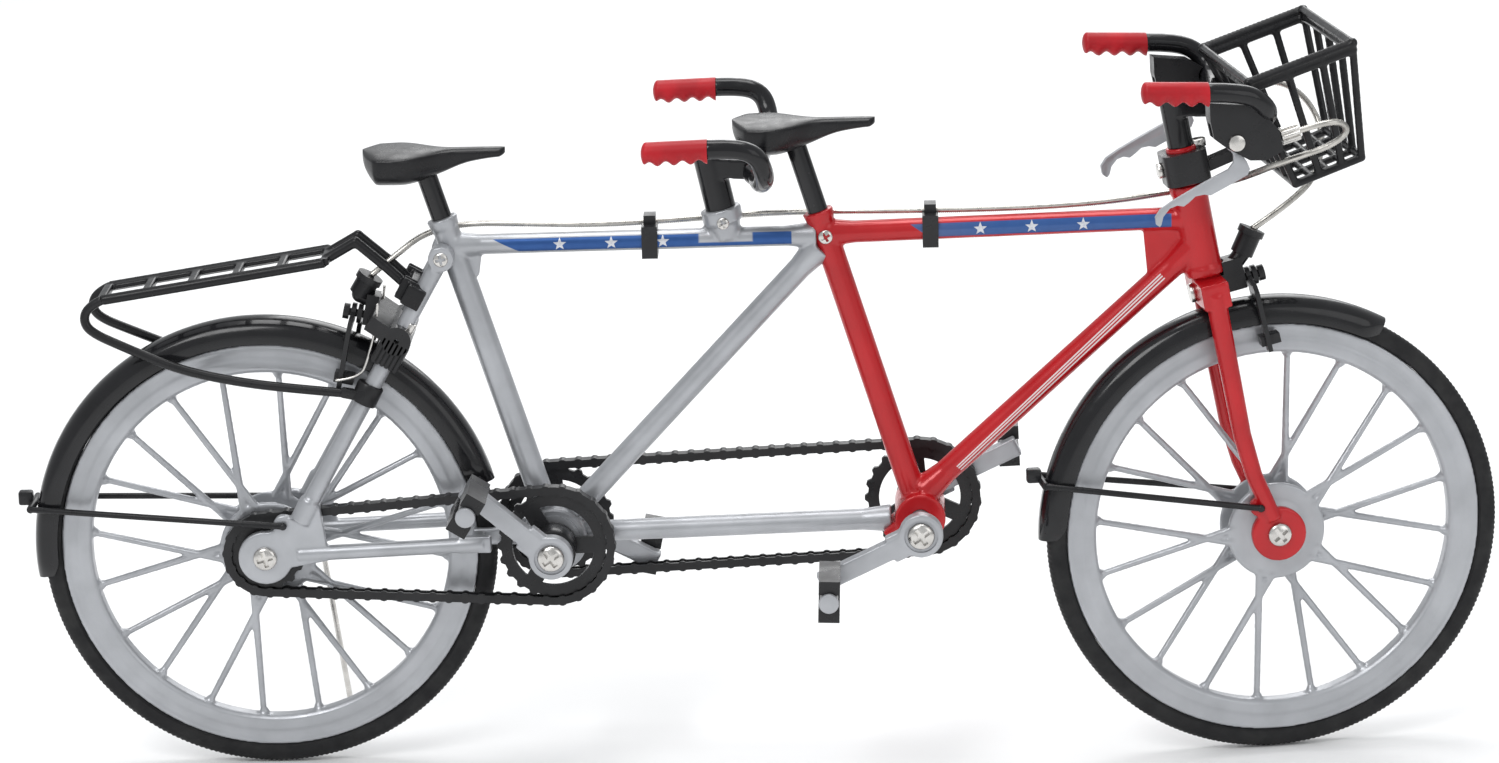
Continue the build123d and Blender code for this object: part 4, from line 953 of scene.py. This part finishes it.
def makeHandlebar():
    route = bothWays([(139.1, 22.4, 106.9), (143.0, 22.4, 106.75), (146.6, 22.1, 105.8), (148.9, 20.8, 103.2),
                      (148.2, 17.4, 101.4), (147.0, 11.5, 100.8), (146.2, 4.0, 100.7)])
    forms = [wire(route, barRadius, 4)]
    forms.append(rod(onHead(20.0), onHead(28.45), 1.97, sides=40))
    start = onHead(26.7)
    forms.append(bar((start[0], start[2]), (146.7, 100.7), 3.0, (-2.1, 2.1)))
    piece = melted(forms, "steeringBar", 0.21, 6)
    return ready(steer(piece), "fork", blackPaint, ["handlebar"])


makeStokerBar()
makeHandlebar()
makeGrips("stokerGripPair", (59.9, 100.3), (69.6, 100.6), "stoker_grips", "frame")
makeGrips("steeringGripPair", (129.4, 107.4), (139.3, 106.9), "handlebar_grips", "fork", True)
print("bars and grips made")


# basket, tilted up at the front

basketSizes = {"rim": [(146.8, 106.8), (162.4, 112.0)], "floor": [(155.0, 90.4), (165.0, 93.9)],
               "rimHalf": 15.6, "floorHalf": 10.9, "bar": 0.62}


def basketSpot(level, along, across):
    s = basketSizes
    low = [s["floor"][0][i] + along * (s["floor"][1][i] - s["floor"][0][i]) for i in (0, 1)]
    high = [s["rim"][0][i] + along * (s["rim"][1][i] - s["rim"][0][i]) for i in (0, 1)]
    half = s["floorHalf"] + level * (s["rimHalf"] - s["floorHalf"])
    return (low[0] + level * (high[0] - low[0]), across * half, low[1] + level * (high[1] - low[1]))


def makeBasket():
    thin = basketSizes["bar"]
    corners = [(0, -1), (1, -1), (1, 1), (0, 1)]
    forms = []
    for level, radius in ((1, 0.8), (0, 0.66), (0.94, 0.7)):
        for (a, b), (c, d) in zip(corners, corners[1:] + corners[:1]):
            sides = 4 if level == 1 else 12
            forms.append(rod(basketSpot(level, a, b), basketSpot(level, c, d), radius, sides=sides))
            forms.append(ball(basketSpot(level, a, b), radius * 1.05, 10))
    for across in (-1, -0.5, 0, 0.5, 1):
        for along in (0, 1):
            forms.append(rod(basketSpot(0, along, across), basketSpot(1, along, across), thin, sides=8))
    for across in (-1, 1):
        for along in (0.36, 0.7):
            forms.append(rod(basketSpot(0, along, across), basketSpot(1, along, across), thin, sides=8))
    for along in (0.25, 0.5, 0.75):
        forms.append(rod(basketSpot(0, along, -1), basketSpot(0, along, 1), thin - 0.05, sides=8))
    for across in (-0.5, 0, 0.5):
        forms.append(rod(basketSpot(0, 0, across), basketSpot(0, 1, across), thin - 0.05, sides=8))
    piece = melted(forms, "basketMoulding", 0.22, 3)
    return ready(steer(piece), "fork", blackPlastic, ["basket"])


makeBasket()
print("basket made")


# fenders, rack and their stays

fenderSizes = {"inner": 35.5, "thick": 0.8, "half": 3.15, "skirt": 3.0}


def fenderShape(hub, start, stop):
    f = fenderSizes
    outer = f["inner"] + f["thick"]
    inner, half, edge = f["inner"], f["half"], f["inner"] - f["skirt"]
    skin = [(edge, -half), (inner - 1.6, -half), (inner - 0.6, -2.95), (outer - 0.55, -2.2),
            (outer - 0.12, -1.1)]
    lining = [(edge, 2.55), (inner - 1.7, 2.5), (inner - 0.7, 1.8), (inner - 0.1, 0.9)]
    outline = mirrored(skin, (outer, 0)) + mirrored(lining, (inner, 0))

    def shape(u, v):
        spot = outline[round(v * len(outline)) % len(outline)]
        turn = start + (stop - start) * u
        tip = min(1.0, min(u, 1 - u) * abs(stop - start) / 5.0)
        narrow = 0.55 + 0.45 * math.sin(math.pi / 2 * tip)
        lift = (1 - narrow) * 2.2
        radius = max(spot[0], spot[0] + lift * (outer - spot[0]) / f["skirt"])
        a = math.radians(turn)
        return (hub[0] + radius * math.cos(a), spot[1] * narrow, hub[1] + radius * math.sin(a))
    return shape, len(outline)


def makeFender(name, hub, start, stop, body, node, turnedFork=False):
    shape, count = fenderShape(hub, start, stop)
    piece = lofted(120, count, shape)
    piece.name = name
    smoothAt(45)
    if turnedFork:
        crown = slab((onHead(-2.4)[0], 0, onHead(-2.4)[2]), (4.5, 14.0, 4.2), math.degrees(headLean))
        carved(piece, [crown])
        steer(piece)
    return ready(piece, body, blackPaint, [node])


makeFender("rearFenderMoulding", rearHub, 16, 187, "frame", "rear_fender")
makeFender("frontFenderMoulding", frontHub, 61, 180, "fork", "front_fender", True)


def makeRack():
    rear, front = (-23.2, 75.2), (10.8, 80.4)
    slope = (front[1] - rear[1]) / (front[0] - rear[0])
    forms = []
    for side in (-1, 1):
        forms.append(rod((rear[0], side * 4.4, rear[1]), (front[0], side * 4.4, front[1]), 0.8, sides=16))
        inner = (rear[0] + 1, side * 3.5, rear[1] + 0.2)
        forms.append(rod(inner, (front[0], side * 3.5, front[1] + 0.1), 0.5, sides=8))
    for part in (0, 0.2, 0.4, 0.6, 0.8, 1):
        x = rear[0] + part * (front[0] - rear[0])
        z = rear[1] + (x - rear[0]) * slope
        forms.append(slab((x, 0, z), (1.3, 8.8, 1.1), math.degrees(math.atan(slope))))
    for side in (-1, 1):
        tongue = [(x, side * 2.2, z) for x, z in (front, (15.4, 83.0), (19.6, 79.3), (23.2, 75.8))]
        for a, b in zip(tongue, tongue[1:]):
            forms.append(rod(a, b, 0.8, sides=12))
            forms.append(ball(b, 0.85, 12))
    forms.append(slab((24.1, 0, 75.0), (3.0, 12.4, 3.2), -30))
    for rib in (-4.6, -3.2, 3.2, 4.6):
        forms.append(slab((23.5, rib, 75.6), (3.6, 0.6, 3.5), -30))
    piece = melted(forms, "rackPlatform", 0.2, 4)
    return ready(piece, "frame", blackPlastic, ["rear_rack"])


def makeStruts():
    pieces = []
    for side in (-1, 1):
        route = [(-23.2, 4.4, 75.2), (-25.2, 4.4, 74.3), (-26.2, 4.4, 72.3), (-25.2, 4.6, 70.3),
                 (-20.0, 5.0, 67.9), (-12.0, 5.5, 64.4), (-3.0, 5.9, 62.4), (6.0, 6.1, 61.2),
                 (15.0, 5.9, 60.2)]
        pieces.append(wire([(x, side * y, z) for x, y, z in route], 0.72, 3))
        y = side * 5.45
        clamp = rod((15.7, y + side * 0.15, 58.7), (17.2, y - side * 0.1, 61.6), 2.05, sides=32)
        pieces.append(rounded(clamp, 0.3))
        pieces.append(rounded(slab((14.2, side * 6.2, 60.3), (3.2, 1.3, 1.6), -12), 0.3))
    piece = joined(pieces, "rackStrutPair")
    return ready(piece, "frame", blackPlastic, ["rack_struts"])


def makeFenderStays(name, root, tail, rootY, body, node, turnedFork=False):
    pieces = []
    for side in (-1, 1):
        a = (root[0], side * rootY, root[1])
        b = (tail[0], side * 3.7, tail[1])
        strap = rod(a, b, 0.52, 0.5, 8)
        pieces.append(rounded(strap, 0.1))
        pieces.append(ball(a, 0.62, 12))
        pieces.append(rod(a, (root[0], side * (rootY - 1.7), root[1]), 0.5, sides=12))
    pieces.append(rounded(rod((tail[0], -3.9, tail[1]), (tail[0], 3.9, tail[1]), 0.6, sides=12), 0.1))
    pieces.append(rounded(slab((tail[0] - 1.2, 0, tail[1] + 0.9), (2.2, 1.8, 2.2)), 0.35))
    piece = joined(pieces, name)
    smoothAt(40)
    if turnedFork:
        steer(piece)
    return ready(piece, body, blackPlastic, [node])


makeRack()
makeStruts()
fenderOuter = fenderSizes["inner"] + fenderSizes["thick"]
rearTail = (-math.sqrt(fenderOuter ** 2 - 7.2 ** 2) - 0.6, 42.2)
frontTail = (frontHub[0] - math.sqrt(fenderOuter ** 2 - 9.2 ** 2) - 0.6, 44.2)
makeFenderStays("rearFenderStay", (3.0, 40.2), rearTail, 8.4, "frame", "rear_fender_stays")
makeFenderStays("frontFenderStay", (150.8, 39.4), frontTail, 5.85, "fork", "front_fender_stays", True)
print("fenders and rack made")


# cranks

crankSizes = {"length": 15.5, "inner": 10.4, "outer": 12.6, "boss": 3.35, "width": 2.9}


def makeCrankArm(centre, degreesUp, side):
    s = crankSizes
    turn = math.radians(degreesUp)
    end = (centre[0] + s["length"] * math.cos(turn), centre[1] + s["length"] * math.sin(turn))
    low, high = sorted((side * s["inner"], side * s["outer"]))
    tip = (centre[0] + (s["length"] + 1.5) * math.cos(turn), centre[1] + (s["length"] + 1.5) * math.sin(turn))
    forms = [bar(centre, tip, s["width"], (low, high))]
    forms.append(crossRod(*centre, low, high + (0.2 if side > 0 else 0), s["boss"], 48))
    neck = (centre[0] + 5.2 * math.cos(turn), centre[1] + 5.2 * math.sin(turn))
    forms.append(bar(centre, neck, 4.2, (low + 0.2, high - 0.2)))
    arm = melted(forms, "crankArm", 0.19, 6)
    recess = crossRod(*centre, side * (s["outer"] - 0.35), side * (s["outer"] + 2), 2.55, 40)
    carved(arm, [recess])
    axleEnd = side * (s["outer"] + 0.35 + 10.6 + 0.35)
    axle = crossRod(*end, side * s["outer"], axleEnd, 0.7, 20)
    cap = rounded(crossRod(*end, axleEnd - side * 0.2, axleEnd + side * 0.7, 1.5, 32), 0.2)
    return [arm, axle, cap]


def makeCrankset(name, centre, rightTurn, leftTurn, body, node):
    pieces = makeCrankArm(centre, rightTurn, -1) + makeCrankArm(centre, leftTurn, 1)
    pieces.append(crossRod(*centre, -12.3, 12.3, 1.5, 32))
    piece = joined(pieces, name)
    smoothAt(45)
    return ready(piece, body, silverPaint, [node])


def makeSleeves(name, centre, spans, body):
    pieces = []
    for start, stop, radius in spans:
        pieces.append(rounded(crossRod(*centre, start, stop, radius, 48), 0.2))
    piece = joined(pieces, name)
    return ready(piece, body, blackPlastic)


makeCrankset("rearCrankArms", rearCrank, 139.0, -28.0, "rear_crank", "rear_crankset")
makeCrankset("frontCrankArms", frontCrank, 205.5, 25.5, "front_crank", "front_crankset")
makeSleeves("rearRingSleeves", rearCrank, [(-10.3, -5.6, 3.6), (9.4, 10.3, 3.6)], "rear_crank")
makeSleeves("frontRingSleeves", frontCrank, [(9.4, 10.3, 3.6)], "front_crank")
print("cranks made")


# screws with a cross recess

def panHead(centre, y, side, radius, high, turn=20.0):
    deselect()
    bpy.ops.mesh.primitive_uv_sphere_add(segments=36, ring_count=18, radius=radius * mm)
    head = bpy.context.object
    for vertex in head.data.vertices:
        vertex.co.z = max(0.0, vertex.co.z) ** 0.6 * (radius * mm) ** 0.4 * high / radius
    head.data.transform(Matrix.Rotation(-side * math.pi / 2, 4, "X"))
    head.data.transform(Matrix.Translation(place((centre[0], y, centre[1]))))
    pick(head)
    tidyNormals()
    cutters = []
    for extra in (0, 90):
        size = (radius * 1.35, high * 1.7, radius * 0.36)
        cutters.append(slab((centre[0], y + side * high, centre[1]), size, turn + extra))
    carved(head, cutters)
    pick(head)
    smoothAt(35)
    return head


kickPin = (6.4, 34.2)
leverPivot = (143.7, 99.1)


def makeScrews():
    rear = [crossRod(*rearHub, -8.0, 8.0, 0.9)]
    front = [crossRod(*frontHub, -5.4, 5.4, 0.9)]
    for side in (-1, 1):
        rear.append(panHead(rearHub, side * 7.9, side, 1.85, 0.9, 15))
        front.append(panHead(frontHub, side * 5.35, side, 1.85, 0.9, 40))
    middle = (seatLine(frontCrank, 82.3), 82.3)
    for side in (-1, 1):
        rear.append(panHead((stayTop[0], stayTop[2]), side * 4.85, side, 1.15, 0.6, 10))
        rear.append(panHead(middle, side * 1.9, side, 1.1, 0.5, 30))
    socket = onStoker(2.9)
    rear.append(panHead((socket[0], socket[2]), -2.9, -1, 0.95, 0.5, 25))
    rear.append(crossRod(*kickPin, 7.9, 9.9, 0.6))
    rear.append(panHead(kickPin, 9.8, 1, 1.2, 0.5, 30))
    ready(joined(rear, "frameScrews"), "frame", brightSteel, ["frame_fasteners"])
    for lever in (-1, 1):
        front.append(rounded(crossRod(*leverPivot, lever * 21.6, lever * 22.1, 1.25, 32), 0.25))
        front.append(crossRod(*leverPivot, lever * 18.4, lever * 21.7, 0.57))
    back = Vector((-math.cos(headLean), 0, -math.sin(headLean)))
    clampMiddle = Vector(onHead(17.15))
    start = clampMiddle + back * 3.35
    front.append(rounded(rod(tuple(start), tuple(start + back * 0.85), 1.2, sides=28), 0.2))
    nutLow = Vector(onHead(19.5)) - back * 2.6
    nutHigh = Vector(onHead(20.7)) - back * 2.6
    front.append(rounded(rod(tuple(nutLow), tuple(nutHigh), 1.3, sides=14), 0.12))
    boltStart = Vector(onHead(-2.4)) + back * 2.1
    front.append(rounded(rod(tuple(boltStart), tuple(boltStart + back * 0.85), 1.5, sides=28), 0.25))
    ready(steer(joined(front, "forkScrews")), "fork", brightSteel, ["fork_fasteners"])
    for end, crank in (("rear", rearCrank), ("front", frontCrank)):
        heads = [panHead(crank, side * 12.35, side, 2.05, 1.0, 35) for side in (-1, 1)]
        ready(joined(heads, end + "CrankScrews"), end + "_crank", brightSteel)


makeScrews()
print("screws made")


# spring-wound cables

cableSizes = {"radius": 0.53, "groove": 0.12, "coil": 0.3}
barSide = [(153.4, -20.0, 100.2), (156.8, -20.4, 101.2), (159.8, -19.9, 101.2), (161.2, -18.2, 99.2),
           (158.6, -17.0, 97.0), (154.4, -16.2, 95.6), (150.8, -13.6, 93.8), (148.8, -9.0, 91.8),
           (147.4, -2.2, 89.6)]
frameSide = [(144.2, 4.8, 87.4), (137.6, 4.9, 86.5), (130.0, 2.4, 86.0), (120.0, 1.0, 85.7),
             (108.5, 1.3, 85.4), (97.0, 1.9, 85.3), (87.5, 3.2, 85.1), (79.6, 4.3, 84.8), (71.4, 4.5, 84.4),
             (62.5, 2.5, 84.3), (51.0, 1.2, 84.15), (40.0, 2.0, 84.4), (31.6, 3.7, 84.2), (25.4, 3.0, 83.0),
             (21.0, 0.9, 80.0), (17.3, 0.0, 77.2)]
frontRoute = [(153.4, 20.0, 100.2), (158.4, 19.0, 101.0), (163.0, 17.0, 98.6), (165.4, 14.6, 93.4),
              (163.4, 9.6, 88.4), (159.0, 3.6, 85.4), (150.9, 0.0, 81.6)]


def back(point):
    # metres in the frame, back to millimetres from the rear hub
    return (point[0] / mm + hubAhead, point[1] / mm, point[2] / mm)


def woundTube(points, name):
    s = cableSizes
    line = routePoints(points, s["coil"] / 2 * mm)
    count = len(line) - 1
    frames = []
    side = Vector((0, 1, 0))
    for number, spot in enumerate(line):
        ahead = (line[min(count, number + 1)] - line[max(0, number - 1)]).normalized()
        side = (side - ahead * side.dot(ahead)).normalized()
        frames.append((spot, side.copy(), ahead.cross(side)))

    def shape(u, v):
        number = min(count, round(u * count))
        spot, across, over = frames[number]
        radius = (s["radius"] - (s["groove"] if number % 2 else 0.0)) * mm
        turn = 2 * math.pi * v
        return back(spot + across * radius * math.cos(turn) + over * radius * math.sin(turn))
    piece = lofted(count, 8, shape)
    piece.name = name
    bpy.ops.object.shade_smooth()
    return piece


def makeCables():
    steered = [back(steerMatrix @ place(point)) for point in barSide]
    rear = woundTube(steered + frameSide, "rearBrakeCable")
    rear.data.materials.append(cableSteel)
    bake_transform(rear)
    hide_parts("rear_brake_cable")
    front = woundTube(frontRoute, "frontBrakeCable")
    ready(steer(front), "fork", cableSteel, ["front_brake_cable"])


makeCables()
print("cables made")


# levers

leverSpot = {"across": 20, "half": 0.6, "eye": 1.55}
leverEdge = [(-1.2, -0.8), (-0.4, -2.1), (-0.35, -3.0), (-1.1, -4.0), (-2.8, -4.8), (-4.6, -5.7),
             (-6.7, -6.8), (-9.3, -8.2), (-11.3, -9.5), (-12.1, -10.7), (-11.9, -12.0), (-11.2, -12.5),
             (-10.8, -12.0), (-10.5, -10.8), (-9.6, -9.7), (-8.6, -9.35), (-7.6, -9.55), (-6.7, -8.9),
             (-5.8, -8.1), (-4.6, -7.9), (-3.6, -8.1), (-1.7, -7.15), (0.4, -6.1), (2.1, -5.2), (2.5, -4.2),
             (2.0, -3.0), (1.1, -1.6), (0.6, -0.5)]
leverOutline = [(leverPivot[0] + x, leverPivot[1] + z) for x, z in leverEdge]


def makeLever(name, side, body, node):
    s = leverSpot
    low, high = side * s["across"] - s["half"], side * s["across"] + s["half"]
    blade = plate(leverOutline, low, high, 0.35, 0.22)
    rounded(blade, 0.12)
    eye = rounded(crossRod(*leverPivot, low, high, s["eye"], 32), 0.15)
    piece = joined([blade, eye], name)
    return ready(steer(piece), body, leverPaint, [node])


makeLever("rightLeverBlade", -1, "right_lever", "right_brake_lever")
makeLever("leftLeverBlade", 1, "left_lever", "left_brake_lever")


def makeFerrules():
    # a plain sleeve with ridges along it
    pieces = []
    for side in (-1, 1):
        y = side * leverSpot["across"]
        pieces.append(rounded(rod((150.6, y, 99.4), (153.4, y, 100.2), 1.0, sides=28), 0.12))
        for step in range(10):
            turn = step * math.pi / 5
            across, up = 1.05 * math.cos(turn), 1.05 * math.sin(turn)
            low = (150.6 - up * 0.27, y + across, 99.4 + up)
            high = (153.3 - up * 0.27, y + across, 100.17 + up)
            pieces.append(rounded(rod(low, high, 0.26, sides=10), 0.08))
    piece = joined(pieces, "cableFerrules")
    return ready(steer(piece), "fork", brightSteel, ["cable_ferrules"])


makeFerrules()
print("levers made")


# clamps and springs of the rear brake, on the seat stays

staySizes = {"low": (19.2, 64.6), "high": (21.4, 68.4), "width": 4.5, "rib": 0.55}


def makeStayClamps():
    s = staySizes
    run = Vector((s["high"][0] - s["low"][0], s["high"][1] - s["low"][1])).normalized()
    blocks = []
    springs = []
    for side in (-1, 1):
        near, far = side * 3.0, side * 6.9
        blocks.append(rounded(bar(s["low"], s["high"], s["width"], (near, far)), 0.35))
        for step in (-1.8, -1.08, -0.36, 0.36, 1.08, 1.8):
            shift = (run[1] * step, -run[0] * step)
            low = (s["low"][0] + shift[0], s["low"][1] + shift[1])
            high = (s["high"][0] + shift[0], s["high"][1] + shift[1])
            blocks.append(rounded(bar(low, high, s["rib"], (far - side * 0.2, far + side * 0.3)), 0.12))
        y = side * 5.6
        route = [(x, y, z) for x, z in ((18.7, 74.2), (18.2, 70.0), (16.9, 65.8), (15.6, 62.6), (11.7, 62.3))]
        springs.append(wire(route, 0.22, 2))
        bolt = (s["high"][0] + 1.5, s["high"][1] + 0.9)
        boltEnd = (bolt[0] + 0.9, side * 5.0, bolt[1] + 1.5)
        springs.append(rounded(rod((bolt[0], side * 5.0, bolt[1]), boltEnd, 0.75, sides=20), 0.15))
    ready(joined(blocks, "rearBrakeClamps"), "frame", blackPlastic)
    ready(joined(springs, "rearBrakeSprings"), "frame", brightSteel)


makeStayClamps()
print("brake clamps made")


# CAD nodes that keep their shape

rings = ["rear_cog", "drive_chainring", "rear_timing_ring", "front_timing_ring"]
pedals = [end + side + "pedal" for end in ("rear_", "front_") for side in ("right_", "left_")]
brakePieces = ("brake_body", "brake_right_arm", "brake_left_arm")
brakes = [end + piece for end in ("front_", "rear_") for piece in brakePieces]
kept = {
    "moulded": (blackPlastic, rings + pedals + brakes + ["lever_housings", "cable_clips", "headset_clamp"]),
    "chains": (chainPlastic, ["drive_chain", "timing_chain"]),
    "posts": (blackPaint, ["rear_seatpost", "front_seatpost"]),
    "steel": (brightSteel, ["kickstand"]),
}
for material, names in kept.values():
    for name in names:
        node = frame["nodes"][name]
        node.data.materials.clear()
        node.data.materials.append(material)
print("finishes given")
